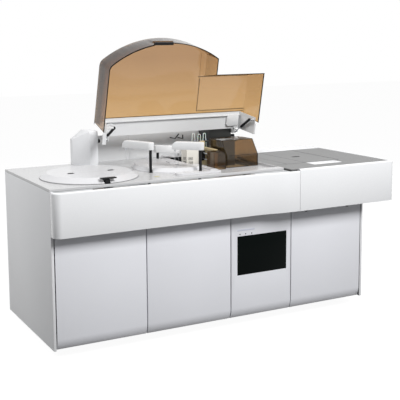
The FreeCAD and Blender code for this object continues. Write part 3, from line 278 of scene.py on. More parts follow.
class AnalyzerSizes(bpy.types.PropertyGroup):
    panel_edge: size("Panel edge", "Rounding of the bent sheet edges", 1.2)
    moulded_edge: size("Moulded edge", "Rounding of the moulded edges", 2.0)
    small_edge: size("Small edge", "Rounding of the small parts' edges", 0.8)
    screw: size("Screw", "Radius of the panel screws' heads", 4.0)
    cap: size("Hinge cap", "Radius of the cover's round hinge cap", 30.0)


def sizes():
    return bpy.context.scene.analyzer_sizes


# Materials

def add(tree, kind, settings, links=()):
    """Adds one node with its settings and its incoming links."""
    node = tree.nodes.new(kind)
    for key, value in settings.items():
        if isinstance(key, int) or key in node.inputs:
            node.inputs[key].default_value = value
        else:
            setattr(node, key, value)
    for key, source in links:
        tree.links.new(source, node.inputs[key])
    return node


def surface(name, base, rough, grain, bump, vary=0.03, stretch=(1, 1, 1), **shader):
    """A finish with a fine grain in millimetres, a broad change of tone and uneven gloss."""
    material = bpy.data.materials.new(name)
    material.use_nodes = True
    tree = material.node_tree
    tree.nodes.clear()
    coords = add(tree, "ShaderNodeTexCoord", {}).outputs["Object"]
    laid = add(tree, "ShaderNodeMapping", {"Scale": stretch}, [("Vector", coords)]).outputs[0]
    fine = add(tree, "ShaderNodeTexNoise", {"Scale": 1000 / grain, "Detail": FINE_DETAIL},
               [("Vector", laid)]).outputs["Fac"]
    broad = add(tree, "ShaderNodeTexNoise",
                {"Scale": 1000 / BROAD_PATCH, "Detail": BROAD_DETAIL},
                [("Vector", coords)]).outputs["Fac"]
    low = [c * (1 - vary) for c in base] + [1]
    high = [min(c * (1 + vary), 1) for c in base] + [1]
    tone = add(tree, "ShaderNodeMix", {"data_type": "RGBA", 6: low, 7: high}, [(0, broad)])
    gloss = add(tree, "ShaderNodeMapRange",
                {"From Min": NOISE_SPAN[0], "From Max": NOISE_SPAN[1],
                 "To Min": max(rough - GLOSS_SPREAD, GLOSS_FLOOR),
                 "To Max": rough + GLOSS_SPREAD}, [("Value", fine)])
    relief = add(tree, "ShaderNodeBump", {"Strength": bump, "Distance": RELIEF * MM},
                 [("Height", fine)])
    shader_node = add(tree, "ShaderNodeBsdfPrincipled", shader,
                      [("Base Color", tone.outputs[2]), ("Roughness", gloss.outputs[0]),
                       ("Normal", relief.outputs[0])])
    add(tree, "ShaderNodeOutputMaterial", {}, [("Surface", shader_node.outputs[0])])
    return material


def acrylic(name, low_tint, shaded_top_tint, rough, shine=0.5, clear=0.9):
    """Cast acrylic, clear and tinted, with a faint haze; painted shade may darken its colour
    towards the top.
    """
    material = bpy.data.materials.new(name)
    material.use_nodes = True
    tree = material.node_tree
    tree.nodes.clear()
    coords = add(tree, "ShaderNodeTexCoord", {}).outputs["Object"]
    flow = add(tree, "ShaderNodeTexNoise",
               {"Scale": 1000 / CLOUD_PATCH, "Detail": FINE_DETAIL},
               [("Vector", coords)]).outputs["Fac"]
    height = add(tree, "ShaderNodeSeparateXYZ", {}, [("Vector", coords)]).outputs["Z"]
    # Painted shade: the acrylic's colour darkens towards the top over these heights
    rise = add(tree, "ShaderNodeMapRange", {"From Min": TOP_SHADE_FROM, "From Max": TOP_SHADE_TO},
               [("Value", height)])
    tint_and_top_shade = add(tree, "ShaderNodeMix", {"data_type": "RGBA", 6: list(low_tint) + [1],
                                       7: list(shaded_top_tint) + [1]}, [(0, rise.outputs[0])])
    cloud = add(tree, "ShaderNodeMapRange", {"To Min": CLOUD_LOW, "To Max": 1.0},
                [("Value", flow)])
    tone = add(tree, "ShaderNodeVectorMath", {"operation": "SCALE"},
               [(0, tint_and_top_shade.outputs[2]), ("Scale", cloud.outputs[0])])
    gloss = add(tree, "ShaderNodeMapRange", {"To Min": rough, "To Max": rough + HAZE_SPREAD},
                [("Value", flow)])
    body = add(tree, "ShaderNodeBsdfPrincipled",
               {"IOR": ACRYLIC_IOR, "Transmission Weight": clear, "Specular IOR Level": shine},
               [("Base Color", tone.outputs[0]), ("Roughness", gloss.outputs[0])])
    add(tree, "ShaderNodeOutputMaterial", {}, [("Surface", body.outputs[0])])


def lean(material):
    """Lays a mirror finish a few degrees off level, so it shows what stands behind it."""
    tree = material.node_tree
    flat = add(tree, "ShaderNodeNewGeometry", {}).outputs["Normal"]
    tipped = add(tree, "ShaderNodeVectorMath", {"operation": "ADD", 1: LEDGE_LEAN},
                 [(0, flat)])
    shader_node = next(n for n in tree.nodes if n.type == "BSDF_PRINCIPLED")
    tree.links.new(tipped.outputs[0], shader_node.inputs["Normal"])


def speckle(name, base, dark, rough, spot):
    """Printed laminate: a satin sheet with specks a few millimetres across."""
    material = surface(name, base, rough, SPECK_GRAIN, SPECK_VARY)
    tree = material.node_tree
    shader_node = next(n for n in tree.nodes if n.type == "BSDF_PRINCIPLED")
    coords = next(n for n in tree.nodes if n.type == "TEX_COORD").outputs["Object"]
    specks = add(tree, "ShaderNodeTexVoronoi", {"Scale": 1000 / spot}, [("Vector", coords)])
    mask = add(tree, "ShaderNodeMapRange", {"From Min": SPECK_EDGE[0], "From Max": SPECK_EDGE[1]},
               [("Value", specks.outputs["Distance"])])
    under = shader_node.inputs["Base Color"].links[0].from_socket
    mixed = add(tree, "ShaderNodeMix", {"data_type": "RGBA", 6: list(dark) + [1]},
                [(0, mask.outputs[0]), (7, under)])
    tree.links.new(mixed.outputs[2], shader_node.inputs["Base Color"])


def make_finishes():
    c = bpy.context.scene.analyzer_colours
    # Powder coat on sheet steel: the bake leaves a fine orange peel and a soft sheen
    surface("powder_coat_white", c.cabinet, 0.42, 2.5, 0.12)
    surface("powder_coat_door", c.doors, 0.38, 2.5, 0.10)
    surface("powder_coat_frame", c.arms, 0.30, 2.5, 0.08)
    surface("powder_coat_dark", c.housing, 0.45, 2.5, 0.15)
    # Painted shade: the rear wall's white is darker than the cabinet's, for the shade it stands
    # in
    surface("powder_coat_wall_shaded", linear("#D2D3D4"), 0.40, 2.5, 0.10)
    surface("powder_coat_chassis", linear("#8C9094"), 0.5, 3.0, 0.2)
    # Injection moulded ABS: smooth from a polished tool, a little uneven in gloss
    surface("moulded_abs_fascia", c.fascia, 0.24, 4.0, 0.03)
    # Painted shade: the deck's own grey, darkened further for the light that falls on its top
    surface("moulded_abs_deck_top_shaded", c.deck, 0.26, 3.0, 0.05)
    surface("moulded_abs_cover", c.covers, 0.26, 3.0, 0.04)
    surface("moulded_abs_arm", c.arms, 0.28, 3.0, 0.04)
    surface("moulded_abs_cream", c.cream, 0.40, 2.0, 0.12)
    surface("moulded_abs_cream_white", linear("#D5D2CA"), 0.35, 3.0, 0.06)
    # Black anodised and moulded parts: dark with a satin grey glint; the same black paints the
    # shade in the cover grip's notch
    surface("anodised_black_and_shade", c.black, 0.38, 1.5, 0.10, **{"Specular IOR Level": 0.2})
    # Ground steel: fine lines run round or along, so its gloss is drawn out
    surface("ground_steel", c.steel, 0.24, 1.0, 0.06, stretch=(1, 1, 0.05), Metallic=1.0)
    surface("chromed_steel", linear("#D8DADC"), 0.08, 3.0, 0.01, Metallic=1.0)
    # Hot-dip galvanised sheet: the zinc's crystals show as patches of grey
    surface("galvanised_sheet", c.zinc, 0.42, 9.0, 0.10, vary=0.08, Metallic=0.8)
    # Blow-moulded polyethylene: waxy, a little see-through
    surface("blown_polyethylene", c.tank, 0.45, 6.0, 0.12, **{"Subsurface Weight": 0.2})
    # Rubber: dull, with the mould's fine texture; the same dark paints the shadow ring round the
    # reagent cover's foot
    surface("moulded_rubber_and_shadow", linear("#232325"), 0.75, 1.2, 0.3)
    # Polished strip: a mirror that shows the pale parts standing behind it
    lean(surface("polished_ledge", c.ledge, 0.03, 30.0, 0.0, Metallic=1.0))
    # Black glass of the door's window: deep black with one clear reflection
    surface("float_glass_black", linear("#050A09"), 0.12, 12.0, 0.0,
            **{"Specular IOR Level": 0.04})
    surface("blue_grey_film", linear("#C6C9D6"), 0.35, 3.0, 0.03)
    surface("gold_film", linear("#A79F5A"), 0.35, 3.0, 0.05)
    # Silicone tube: milky and soft
    surface("milky_silicone", linear("#DCDDD8"), 0.3, 4.0, 0.05,
            **{"Subsurface Weight": 0.3})
    # High-pressure laminate: a grey sheet with a fine print of specks
    speckle("pressed_laminate", c.worktop, linear("#717272"), 0.36, 3.0)
    # Tinted cast acrylic: clear brown, so what stands behind it shows through darker
    # Painted shade: each acrylic's colour darkens towards the top of the cover
    acrylic("cast_acrylic_amber", c.amber, linear("#B58E65"), 0.03)
    # Painted shade: the side walls' acrylic is a darker copy of the amber
    acrylic("cast_acrylic_wall_shaded", linear("#B59A80"), linear("#6A5038"), 0.06, 0.15)
    acrylic("cast_acrylic_brown", c.brown, c.brown, 0.02, 0.3, 0.98)
    # Sawn acrylic edge: dull and almost black, since light in the sheet leaves elsewhere; the
    # same black paints the cover's shadow lines
    surface("sawn_acrylic_edge_and_shadow", linear("#120D0A"), 0.45, 3.0, 0.05,
            **{"Specular IOR Level": 0.1})


FINISH_OF_SLOT = {
    "white_cabinet": "powder_coat_white",
    "white_fascia": "moulded_abs_fascia",
    "door_white": "powder_coat_door",
    "frame_steel": "powder_coat_chassis",
    "rubber_feet": "moulded_rubber_and_shadow",
    "worktop_grey": "pressed_laminate",
    "ledge_grey": "polished_ledge",
    "black_glass": "float_glass_black",
    "deck_white": "moulded_abs_deck_top_shaded",
    "arm_white": "moulded_abs_arm",
    "black_part": "anodised_black_and_shade",
    "steel_bright": "ground_steel",
    "amber_acrylic": "cast_acrylic_amber",
    "cream_plastic": "moulded_abs_cream",
    "dark_grey": "powder_coat_dark",
    "zinc_sheet": "galvanised_sheet",
    "tank_white": "blown_polyethylene",
    "hood_white": "powder_coat_frame",
}

# Solids whose finished copy is shaded flat, and those with a finish not of their slot
FLAT_SHEETS = ("worktop_grey", "hatch_lid", "hopper_cover", "feeder_cover", "low_tray")
OTHER_FINISH = {
    "hopper_cover": "cast_acrylic_brown",
    "feeder_cover": "cast_acrylic_brown",
    "reagent_cover_front": "moulded_abs_cover",
    "reagent_cover_rear": "moulded_abs_cover",
    "incubator_cover": "moulded_abs_cover",
    "wash_hub": "moulded_abs_cover",
    "low_tray": "moulded_abs_cover",
    "louvre_box": "moulded_abs_cream_white",
    # Painted shade: a darker white for the rear wall
    "rear_wall": "powder_coat_wall_shaded",
}
SLOT_OF_NODE = {s["node"]: s["material_slot"] for s in frame["record"]["subparts"]}
BODY_OF_NODE = {n: b for b, nodes in frame["record"]["behaviour"]["bodies"].items()
                for n in nodes}


def finish_of(node):
    return OTHER_FINISH.get(node) or FINISH_OF_SLOT[SLOT_OF_NODE[node]]


def dress(piece, finish):
    piece.data.materials.clear()
    piece.data.materials.append(bpy.data.materials[finish])


# Modelling helpers

def clear_selection():
    if bpy.context.object and bpy.context.object.mode != "OBJECT":
        bpy.ops.object.mode_set(mode="OBJECT")
    bpy.ops.object.select_all(action="DESELECT")


def pick(piece):
    clear_selection()
    piece.select_set(True)
    bpy.context.view_layer.objects.active = piece


def settle(piece, name, finish, body="cabinet"):
    """Applies the place, names the piece, gives it its finish and lets it ride."""
    pick(piece)
    bpy.ops.object.transform_apply(location=True, rotation=True, scale=True)
    bpy.ops.object.shade_smooth_by_angle(angle=SMOOTH_ANGLE)
    piece.name = name
    piece.data.name = name
    dress(piece, finish)
    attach(piece, body)


def round_edges(piece, width, angle=30):
    """Rounds every edge sharper than an angle in degrees."""
    pick(piece)
    bevel = piece.modifiers.new("edges", "BEVEL")
    bevel.width = width
    bevel.segments = EDGE_SEGMENTS
    bevel.limit_method = "ANGLE"
    bevel.angle_limit = math.radians(angle)
    bevel.use_clamp_overlap = True
    bpy.ops.object.modifier_apply(modifier=bevel.name)


def block(low, high, edge=0.0):
    """A box between two corners, in metres, with rounded edges."""
    clear_selection()
    middle = (low + high) / 2
    bpy.ops.mesh.primitive_cube_add(size=1, location=middle)
    piece = bpy.context.object
    piece.scale = high - low
    bpy.ops.object.transform_apply(location=True, rotation=True, scale=True)
    if edge:
        round_edges(piece, edge)
    return piece


def round_posts(piece, width, limit):
    """Rounds the upright edges whose X lies under a limit."""
    pick(piece)
    bpy.ops.object.mode_set(mode="EDIT")
    bpy.ops.mesh.select_mode(type="EDGE")
    bpy.ops.mesh.select_all(action="DESELECT")
    bpy.ops.object.mode_set(mode="OBJECT")
    points = piece.data.vertices
    for edge in piece.data.edges:
        a, b = (points[i].co for i in edge.vertices)
        edge.select = (a - b).xy.length < MERGE and a.x < limit
    bpy.ops.object.mode_set(mode="EDIT")
    bpy.ops.mesh.bevel(offset=width, segments=POST_SEGMENTS)
    bpy.ops.object.mode_set(mode="OBJECT")


def turned(radius, steps, sides=24):
    """A turned shape on the Z axis from the origin up: each step is (rise, radius)."""
    clear_selection()
    bpy.ops.mesh.primitive_circle_add(vertices=sides, radius=radius, fill_type="NGON")
    piece = bpy.context.object
    bpy.ops.object.mode_set(mode="EDIT")
    bpy.ops.mesh.select_all(action="SELECT")
    now = radius
    for rise, wanted in steps:
        bpy.ops.mesh.extrude_region_move(TRANSFORM_OT_translate={"value": (0, 0, rise)})
        bpy.ops.transform.resize(value=(wanted / now, wanted / now, 1))
        now = wanted
    bpy.ops.mesh.select_all(action="SELECT")
    bpy.ops.mesh.normals_make_consistent(inside=False)
    bpy.ops.object.mode_set(mode="OBJECT")
    return piece


def stand(piece, at, along):
    """Turns a piece from +Z to a direction and moves it to its place."""
    turn = Vector(along).to_track_quat("Z", "Y").to_matrix().to_4x4()
    piece.data.transform(Matrix.Translation(at) @ turn)


def tube(points, radius, handle="VECTOR"):
    """A round rod along points in metres: straight runs, or smooth with AUTO handles."""
    clear_selection()
    bpy.ops.curve.primitive_bezier_curve_add(location=(0, 0, 0))
    piece = bpy.context.object
    spline = piece.data.splines[0]
    spline.bezier_points.add(len(points) - len(spline.bezier_points))
    for knot, at in zip(spline.bezier_points, points):
        knot.co = at
        knot.handle_left_type = knot.handle_right_type = handle
    piece.data.bevel_depth = radius
    piece.data.bevel_resolution = ROD_SEGMENTS
    piece.data.use_fill_caps = True
    bpy.ops.object.convert(target="MESH")
    bpy.ops.object.mode_set(mode="EDIT")
    bpy.ops.mesh.select_all(action="SELECT")
    bpy.ops.mesh.remove_doubles(threshold=MERGE)
    bpy.ops.mesh.normals_make_consistent(inside=False)
    bpy.ops.object.mode_set(mode="OBJECT")
    return bpy.context.object


def rods(lines, radius, handle="VECTOR"):
    """Rods of one thickness along lines of cabinet points, as one piece."""
    return together([tube([place(*at) for at in line], radius, handle) for line in lines])


def on_cover(piece, name, finish):
    """Carries a piece built on the shut cover to the open one, and lets it ride there."""
    piece.data.transform(cover_turn())
    settle(piece, name, finish, "cover")


def cover_rods(lines, radius, name):
    """Dark rods of the cover along lines of its own points: sawn edges and painted shadow lines.
    """
    piece = together([tube([cover_point(*at) for at in line], radius) for line in lines])
    on_cover(piece, name, "sawn_acrylic_edge_and_shadow")


def twin(piece, shift):
    """A copy with its own mesh, moved by a distance in metres."""
    pick(piece)
    bpy.ops.object.duplicate()
    other = bpy.context.object
    bpy.ops.transform.translate(value=shift)
    bpy.ops.object.transform_apply(location=True, rotation=True, scale=True)
    return other


def together(pieces):
    """Joins some pieces into the first of them."""
    clear_selection()
    for piece in pieces:
        piece.select_set(True)
    bpy.context.view_layer.objects.active = pieces[0]
    bpy.ops.object.join()
    return bpy.context.object


def spread(piece, places):
    """A piece that stands at the first of some places, with its copies at the others."""
    first = Vector(places[0])
    copies = [twin(piece, (Vector(at) - first) * MM) for at in places[1:]]
    return together([piece] + copies)


def bars(middles, half, ys, zs, edge):
    """Like rounded bars at some X, as one piece."""
    return together([block(place(x - half, ys[0], zs[0]), place(x + half, ys[1], zs[1]),
                           edge * MM) for x in middles])


def scaled(steps, unit):
    """Steps of a turned shape, with rises in millimetres and radii in a unit, in metres."""
    return [(rise * MM, radius * unit) for rise, radius in steps]


def flatten_shading(piece):
    """Lets the large faces rule the shading, so that a flat sheet looks flat."""
    pick(piece)
    shading = piece.modifiers.new("shading", "WEIGHTED_NORMAL")
    shading.keep_sharp = True
    bpy.ops.object.modifier_apply(modifier=shading.name)


def softened(node, edge, angle=30):
    """A finished copy of a solid: its facets merged, its edges rounded."""
    source = frame["nodes"][node]
    piece = bpy.data.objects.new(node, source.data.copy())
    bpy.context.collection.objects.link(piece)
    pick(piece)
    bpy.ops.mesh.customdata_custom_splitnormals_clear()
    bpy.ops.object.mode_set(mode="EDIT")
    bpy.ops.mesh.select_all(action="SELECT")
    bpy.ops.mesh.remove_doubles(threshold=MERGE)
    bpy.ops.mesh.dissolve_limited(angle_limit=FLAT_ANGLE)
    bpy.ops.object.mode_set(mode="OBJECT")
    round_edges(piece, edge, angle)
    settle(piece, node + "_finished", finish_of(node), BODY_OF_NODE[node])
    if node in FLAT_SHEETS:
        flatten_shading(piece)
    piece.visible_shadow = not finish_of(node).startswith("cast_acrylic")
    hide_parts(node)
    return piece


class ANALYZER_OT_finishes(bpy.types.Operator):
    """Makes every finish and lays it on the solids"""
    bl_idname = "analyzer.finishes"
    bl_label = "Finishes"

    def execute(self, context):
        make_finishes()
        for node, piece in frame["nodes"].items():
            dress(piece, finish_of(node))
        return {"FINISHED"}


class ANALYZER_OT_cabinet(bpy.types.Operator):
    """Rounds the edges of the panels, the doors and the moulded band"""
    bl_idname = "analyzer.cabinet"
    bl_label = "Cabinet"

    def execute(self, context):
        s = sizes()
        for node in ("side_panel_left", "side_panel_right", "door_1", "door_2", "door_3",
                     "door_4", "tower", "rear_wall"):
            softened(node, s.panel_edge)
        for node in ("fascia_left", "module_housing"):
            softened(node, s.moulded_edge, BAND_ANGLE)
        for node in ("worktop_grey", "hatch_lid", "inset_plate", "rear_box", "door_window"):
            softened(node, s.small_edge)
        return {"FINISHED"}


class ANALYZER_OT_instruments(bpy.types.Operator):
    """Rounds the edges of the deck's covers, arms and boxes"""
    bl_idname = "analyzer.instruments"
    bl_label = "Instruments"

    def execute(self, context):
        s = sizes()
        for node in ("reagent_arm", "wash_arm", "sample_arm", "louvre_box"):
            softened(node, s.moulded_edge)
        for node in ("low_tray", "cuvette_magazine", "hopper_loader", "shelf_plate",
                     "cover_brackets", "lid_sensor", "gripper", "mixer_motors",
                     "hopper_cover", "feeder_cover"):
            softened(node, s.small_edge)
        return {"FINISHED"}


class ANALYZER_OT_cover(bpy.types.Operator):
    """Finishes the amber cover: its dark sawn rim, hinge caps and spring ball"""
    bl_idname = "analyzer.cover"
    bl_label = "Cover"

    def execute(self, context):
        s = sizes()
        shell = softened("hood_shell", s.small_edge, SHELL_ANGLE)
        score(shell, cover_turn() @ cover_point(0, 0, COVER_RIM + SAWN_BAND), (0, 0, 1))
        score(shell, cover_turn() @ cover_point(0, COVER_END + SAWN_BAND, 0), (0, 1, 0))
        # The side walls get a darker copy of the amber acrylic, as painted shade
        shell.data.materials.append(bpy.data.materials["cast_acrylic_wall_shaded"])
        shell.data.materials.append(bpy.data.materials["sawn_acrylic_edge_and_shadow"])
        turn = cover_turn().inverted().to_3x3()
        for face in shell.data.polygons:
            face.material_index = shell_finish(cover_frame(face.center), turn @ face.normal)
        # Painted shade: a black block that darkens the grip's notch
        grip_shade = block(cover_point(*GRIP_SHADE[0]), cover_point(*GRIP_SHADE[1]), GRIP_SHADE_EDGE * MM)
        on_cover(grip_shade, "cover_grip_shade", "anodised_black_and_shade")
        cap = turned(s.cap, scaled(CAP_STEPS, s.cap), CAP_SIDES)
        stand(cap, cover_point(*CAP_AT), (0, 0, -1))
        on_cover(cap, "hinge_cap_left", "powder_coat_frame")
        pad = block(cover_point(*PAD[0]), cover_point(*PAD[1]))
        round_posts(pad, PAD_CORNER * MM, PAD_MIDDLE * MM)
        round_edges(pad, PAD_EDGE * MM, SHELL_ANGLE)
        on_cover(pad, "hinge_cap_right", "powder_coat_frame")
        ball = turned(BALL_NECK * MM, scaled(BALL_STEPS, MM))
        stand(ball, cover_point(*BALL_AT), (1, 0, 0))
        on_cover(ball, "spring_ball_right", "chromed_steel")
        rim = [(x, along, COVER_RIM + RIM_LIFT) for x, along in COVER_RIM_LINE]
        cover_rods([rim], RIM_ROD * MM, "cover_rim_edge")
        crown = [(x, along, CROWN_Z) for x, along in COVER_RIM_LINE[:CROWN_POINTS]]
        cover_rods([crown, *END_LINES], CROWN_ROD * MM, "cover_outer_edge")
        # Painted shadow: dark rods along the beam's top edge, the rib and the step
        cover_rods([FOOT_LINE, RIB_LINE, STEP_LINE], SHADOW_LINE_ROD * MM, "cover_shadow_lines")
        return {"FINISHED"}


def score(shell, point, way):
    """Cuts a line round the shell across a direction of the cover's frame."""
    pick(shell)
    bpy.ops.object.mode_set(mode="EDIT")
    bpy.ops.mesh.select_mode(type="FACE")
    bpy.ops.mesh.select_all(action="SELECT")
    bpy.ops.mesh.bisect(plane_co=point, plane_no=cover_turn().to_3x3() @ Vector(way))
    bpy.ops.object.mode_set(mode="OBJECT")


def shell_finish(at, normal):
    """Which of the shell's finishes a face gets: 0 plate, 1 side wall in a darker copy of the
    acrylic as painted shade, 2 sawn edge.
    """
    rim = at.z < COVER_RIM + SAWN_BAND
    hinge_end = at.z > 0 and -at.y < COVER_END + SAWN_BAND
    upright = abs(normal.z) < UPRIGHT
    rib = RIB_Z[0] < at.z < RIB_Z[1] and at.x > STEP_X and upright and -at.y < RIB_END
    if rim or hinge_end or rib:
        return 2
    return 1 if abs(normal.z) < SLANTED and at.x < WALL_END_X else 0


class ANALYZER_OT_screws(bpy.types.Operator):
    """Sets the screws into the side panels, their heads just under the faces"""
    bl_idname = "analyzer.screws"
    bl_label = "Screws"

    def execute(self, context):
        left = [(LEFT_SCREW_X, y, z) for y, z in LEFT_SCREWS]
        right = [(RIGHT_SCREW_X, y, z) for y, z in RIGHT_SCREWS]
        for name, places, way in (("panel_screws_left", left, -1),
                                  ("panel_screws_right", right, 1)):
            radius = sizes().screw
            head = turned(radius, scaled(HEAD_STEPS, radius))
            stand(head, place(*places[0]), (way, 0, 0))
            settle(spread(head, places), name, "anodised_black_and_shade")
        return {"FINISHED"}


class ANALYZER_OT_front(bpy.types.Operator):
    """Adds the third door's strip and lamps, and the band's catches"""
    bl_idname = "analyzer.front"
    bl_label = "Front details"

    def execute(self, context):
        strip = block(place(*STRIP[0]), place(*STRIP[1]), STRIP_EDGE * MM)
        settle(strip, "door_strip", "blue_grey_film", "door_3")
        places = [(x, LAMP_Y, LAMP_Z) for x in LAMP_X]
        lamp = turned(LAMP_R * MM, scaled(LAMP_STEPS, MM))
        stand(lamp, place(*places[0]), (0, -1, 0))
        settle(spread(lamp, places), "door_lamps", "anodised_black_and_shade", "door_3")
        catches = bars(CATCH_X, CATCH_HALF, CATCH_Y, CATCH_Z, CATCH_EDGE)
        settle(catches, "band_catches", "anodised_black_and_shade")
        return {"FINISHED"}


class ANALYZER_OT_deck_details(bpy.types.Operator):
    """Adds the deck's grips, seams, screws, marker, pipes, hooks and dark edges"""
    bl_idname = "analyzer.deck_details"
    bl_label = "Deck details"

    def execute(self, context):
        s = sizes()
        grips = bars(FINGER_X, FINGER_HALF, FINGER_Y, FINGER_Z, FINGER_EDGE)
        settle(grips, "finger_grips", "anodised_black_and_shade")
        cup = turned(SLOT_R * MM, scaled(SLOT_STEPS, MM))
        stand(cup, place(*SLOT_AT), (0, 0, 1))
        settle(cup, "hatch_finger_slot", "anodised_black_and_shade")
        # Painted shadow: a dark ring round the reagent cover's foot
        settle(rods([foot_shadow_line()], FOOT_SHADOW_ROD * MM), "reagent_cover_foot_shadow", "moulded_rubber_and_shadow")
        core = block(place(*LOUVRE_CORE[0]), place(*LOUVRE_CORE[1]), s.small_edge)
        settle(core, "louvre_core", "anodised_black_and_shade")
        seams = [block(place(x0, y0, SEAM_Z[0]), place(x1, y1, SEAM_Z[1]))
                 for x0, y0, x1, y1 in SEAMS]
        settle(together(seams), "worktop_seams", "anodised_black_and_shade")
        places = [(x, y, DECK_SCREW_Z) for x, y in DECK_SCREWS]
        screw = turned(s.screw * DECK_SCREW_SHARE, scaled(DECK_SCREW_STEPS, s.screw),
                       DECK_SCREW_SIDES)
        stand(screw, place(*places[0]), (0, 0, 1))
        settle(spread(screw, places), "deck_screws", "chromed_steel")
        film = turned(MARKER_R * MM, scaled(MARKER_STEPS, MM), MARKER_SIDES)
        film.data.transform(Matrix.Diagonal((1, MARKER_SQUASH, 1, 1)))
        stand(film, place(*MARKER_AT), (0, 0, 1))
        settle(film, "deck_marker", "gold_film")
        pipes = [pipe_line(*pipe) for pipe in PIPES]
        settle(rods(pipes, PIPE_ROD * MM, "AUTO"), "milky_pipes", "milky_silicone")
        settle(rods(HOOKS, HOOK_ROD * MM), "wall_hooks", "anodised_black_and_shade")
        settle(rods(cover_edge_lines(), EDGE_ROD * MM), "loader_cover_edges",
               "sawn_acrylic_edge_and_shadow")
        return {"FINISHED"}


def foot_shadow_line():
    """The ring of painted shadow round the reagent cover's foot."""
    x, y = FOOT_SHADOW_MIDDLE
    turns = [math.radians(360 / FOOT_SHADOW_PARTS * k) for k in range(FOOT_SHADOW_PARTS + 1)]
    return [(x + FOOT_SHADOW_R * math.cos(a), y + FOOT_SHADOW_R * math.sin(a), FOOT_SHADOW_Z) for a in turns]


def pipe_line(x, width, top):
    """A pipe that rises from the deck, bends over and comes down again."""
    low = top - PIPE_BEND
    far = x + width
    return [(x, PIPE_Y, PIPE_FOOT), (x + PIPE_LEAN, PIPE_Y, low), (x + width / 2, PIPE_Y, top),
            (far - PIPE_LEAN, PIPE_Y, low), (far, PIPE_Y, PIPE_FOOT)]


def cover_edge_lines():
    """The dark edges of the loader cover and of the small feeder cover."""
    x0, x1 = LOADER_X
    y0, y1 = FEEDER_Y
    lines = [[(x, y, z) for y, z in LOADER_SIDE] for x in LOADER_X]
    lines += [[(x0, y, z), (x1, y, z)] for y, z in LOADER_RIDGES]
    lines += [[(x, y, z) for x, z in FEEDER_FRONT] for y in FEEDER_Y]
    lines += [[(x, y0, z), (x, y1, z)] for x, z in FEEDER_RIDGES]
    return lines


class ANALYZER_OT_stage(bpy.types.Operator):
    """Lays the pale floor, hangs the soft lights and sets the camera"""
    bl_idname = "analyzer.stage"
    bl_label = "Stage"

    def execute(self, context):
        scene = context.scene
        clear_selection()
        bpy.ops.mesh.primitive_plane_add(size=FLOOR, location=(0, 0, 0))
        floor = context.object
        floor.name = "floor"
        floor.data.materials.append(floor_paper())
        scene.world = studio_world()
        for light in LIGHTS:
            hang_light(*light)
        set_camera()
        scene.view_settings.view_transform = "Standard"
        return {"FINISHED"}


def seen_direct(tree):
    """One where a camera, mirror or clear ray looks, else nought."""
    path = add(tree, "ShaderNodeLightPath", {})
    first = add(tree, "ShaderNodeMath", {"operation": "MAXIMUM"},
                [(0, path.outputs["Is Camera Ray"]), (1, path.outputs["Is Glossy Ray"])])
    both = add(tree, "ShaderNodeMath", {"operation": "MAXIMUM"},
               [(0, first.outputs[0]), (1, path.outputs["Is Transmission Ray"])])
    return both.outputs[0]


def floor_paper():
    """White to the eye, but throws little light back, and keeps the shadow on it."""
    material = bpy.data.materials.new("studio_paper")
    material.use_nodes = True
    tree = material.node_tree
    tree.nodes.clear()
    seen = seen_direct(tree)
    paper = add(tree, "ShaderNodeMix", {"data_type": "RGBA", 6: PAPER_LIT, 7: PAPER_SEEN},
                [(0, seen)])
    matt = add(tree, "ShaderNodeBsdfDiffuse", {}, [("Color", paper.outputs[2])])
    glow = add(tree, "ShaderNodeEmission", {"Color": WHITE, "Strength": PAPER_GLOW})
    share = add(tree, "ShaderNodeMath", {"operation": "MULTIPLY", 1: GLOW_SHARE},
                [(0, seen)])
    mix = add(tree, "ShaderNodeMixShader", {},
              [(0, share.outputs[0]), (1, matt.outputs[0]), (2, glow.outputs[0])])
    add(tree, "ShaderNodeOutputMaterial", {}, [("Surface", mix.outputs[0])])
    return material


def studio_world():
    """White where it is looked at, and a weak fill light for everything else."""
    world = bpy.data.worlds.new("studio")
    world.use_nodes = True
    tree = world.node_tree
    tree.nodes.clear()
    soft = add(tree, "ShaderNodeBackground", {"Color": WHITE, "Strength": SKY})
    white = add(tree, "ShaderNodeBackground", {"Color": WHITE, "Strength": 1.0})
    mix = add(tree, "ShaderNodeMixShader", {},
              [(0, seen_direct(tree)), (1, soft.outputs[0]), (2, white.outputs[0])])
    add(tree, "ShaderNodeOutputWorld", {}, [("Surface", mix.outputs[0])])
    return world


def hang_light(name, at, aim, width, power):
    """A square soft light, aimed at a point, that is never seen itself."""
    clear_selection()
    bpy.ops.object.light_add(type="AREA", location=at)
    lamp = bpy.context.object
    lamp.name = name
    lamp.data.shape = "SQUARE"
    lamp.data.size = width
    lamp.data.energy = power
    lamp.visible_camera = False
    lamp.visible_glossy = False
    lamp.visible_transmission = False
    lamp.rotation_euler = (Vector(aim) - Vector(at)).to_track_quat("-Z", "Y").to_euler()


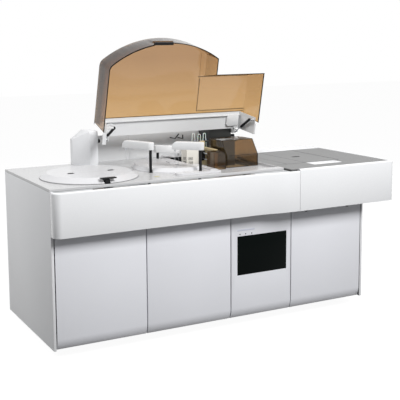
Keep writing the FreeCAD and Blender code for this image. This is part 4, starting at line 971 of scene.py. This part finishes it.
def set_camera():
    """The photograph's viewpoint, with lens and shift worked out for a square frame."""
    yaw = math.radians(CAMERA_YAW)
    pitch = math.radians(CAMERA_PITCH)
    roll = math.radians(CAMERA_ROLL)
    ahead = Vector((math.sin(yaw) * math.cos(pitch), math.cos(yaw) * math.cos(pitch),
                    -math.sin(pitch)))
    right = Vector((math.cos(yaw), -math.sin(yaw), 0))
    down = ahead.cross(right)
    side = math.cos(roll) * right + math.sin(roll) * down
    under = math.cos(roll) * down - math.sin(roll) * right
    clear_selection()
    bpy.ops.object.camera_add()
    camera = bpy.context.object
    turn = Matrix((side, -under, -ahead)).transposed().to_4x4()
    camera.matrix_world = Matrix.Translation(place(*CAMERA_AT)) @ turn
    camera.data.sensor_width = SENSOR
    camera.data.lens = FOCAL_PX / FRAME_PX * SENSOR
    camera.data.shift_x = (FRAME_PX / 2 - MIDDLE_PX[0]) / FRAME_PX
    camera.data.shift_y = (MIDDLE_PX[1] - FRAME_PX / 2) / FRAME_PX
    bpy.context.scene.camera = camera


OPERATORS = (
    ANALYZER_OT_finishes,
    ANALYZER_OT_cabinet,
    ANALYZER_OT_instruments,
    ANALYZER_OT_cover,
    ANALYZER_OT_screws,
    ANALYZER_OT_front,
    ANALYZER_OT_deck_details,
    ANALYZER_OT_stage,
)


class ANALYZER_PT_panel(bpy.types.Panel):
    bl_idname = "ANALYZER_PT_panel"
    bl_label = "Analyzer"
    bl_space_type = "VIEW_3D"
    bl_region_type = "UI"
    bl_category = "Analyzer"

    def draw(self, context):
        for operator in OPERATORS:
            self.layout.operator(operator.bl_idname)
        for group in (context.scene.analyzer_sizes, context.scene.analyzer_colours):
            for name in group.bl_rna.properties.keys():
                if name not in ("rna_type", "name"):
                    self.layout.prop(group, name)


CLASSES = (AnalyzerColours, AnalyzerSizes, *OPERATORS, ANALYZER_PT_panel)


def register():
    for one in CLASSES:
        bpy.utils.register_class(one)
    bpy.types.Scene.analyzer_colours = PointerProperty(type=AnalyzerColours)
    bpy.types.Scene.analyzer_sizes = PointerProperty(type=AnalyzerSizes)


def unregister():
    del bpy.types.Scene.analyzer_sizes
    del bpy.types.Scene.analyzer_colours
    for one in reversed(CLASSES):
        bpy.utils.unregister_class(one)


def main():
    register()
    bpy.ops.analyzer.finishes()
    bpy.ops.analyzer.cabinet()
    bpy.ops.analyzer.instruments()
    bpy.ops.analyzer.cover()
    bpy.ops.analyzer.screws()
    bpy.ops.analyzer.front()
    bpy.ops.analyzer.deck_details()
    bpy.ops.analyzer.stage()
    clear_selection()


if __name__ == "__main__":
    main()
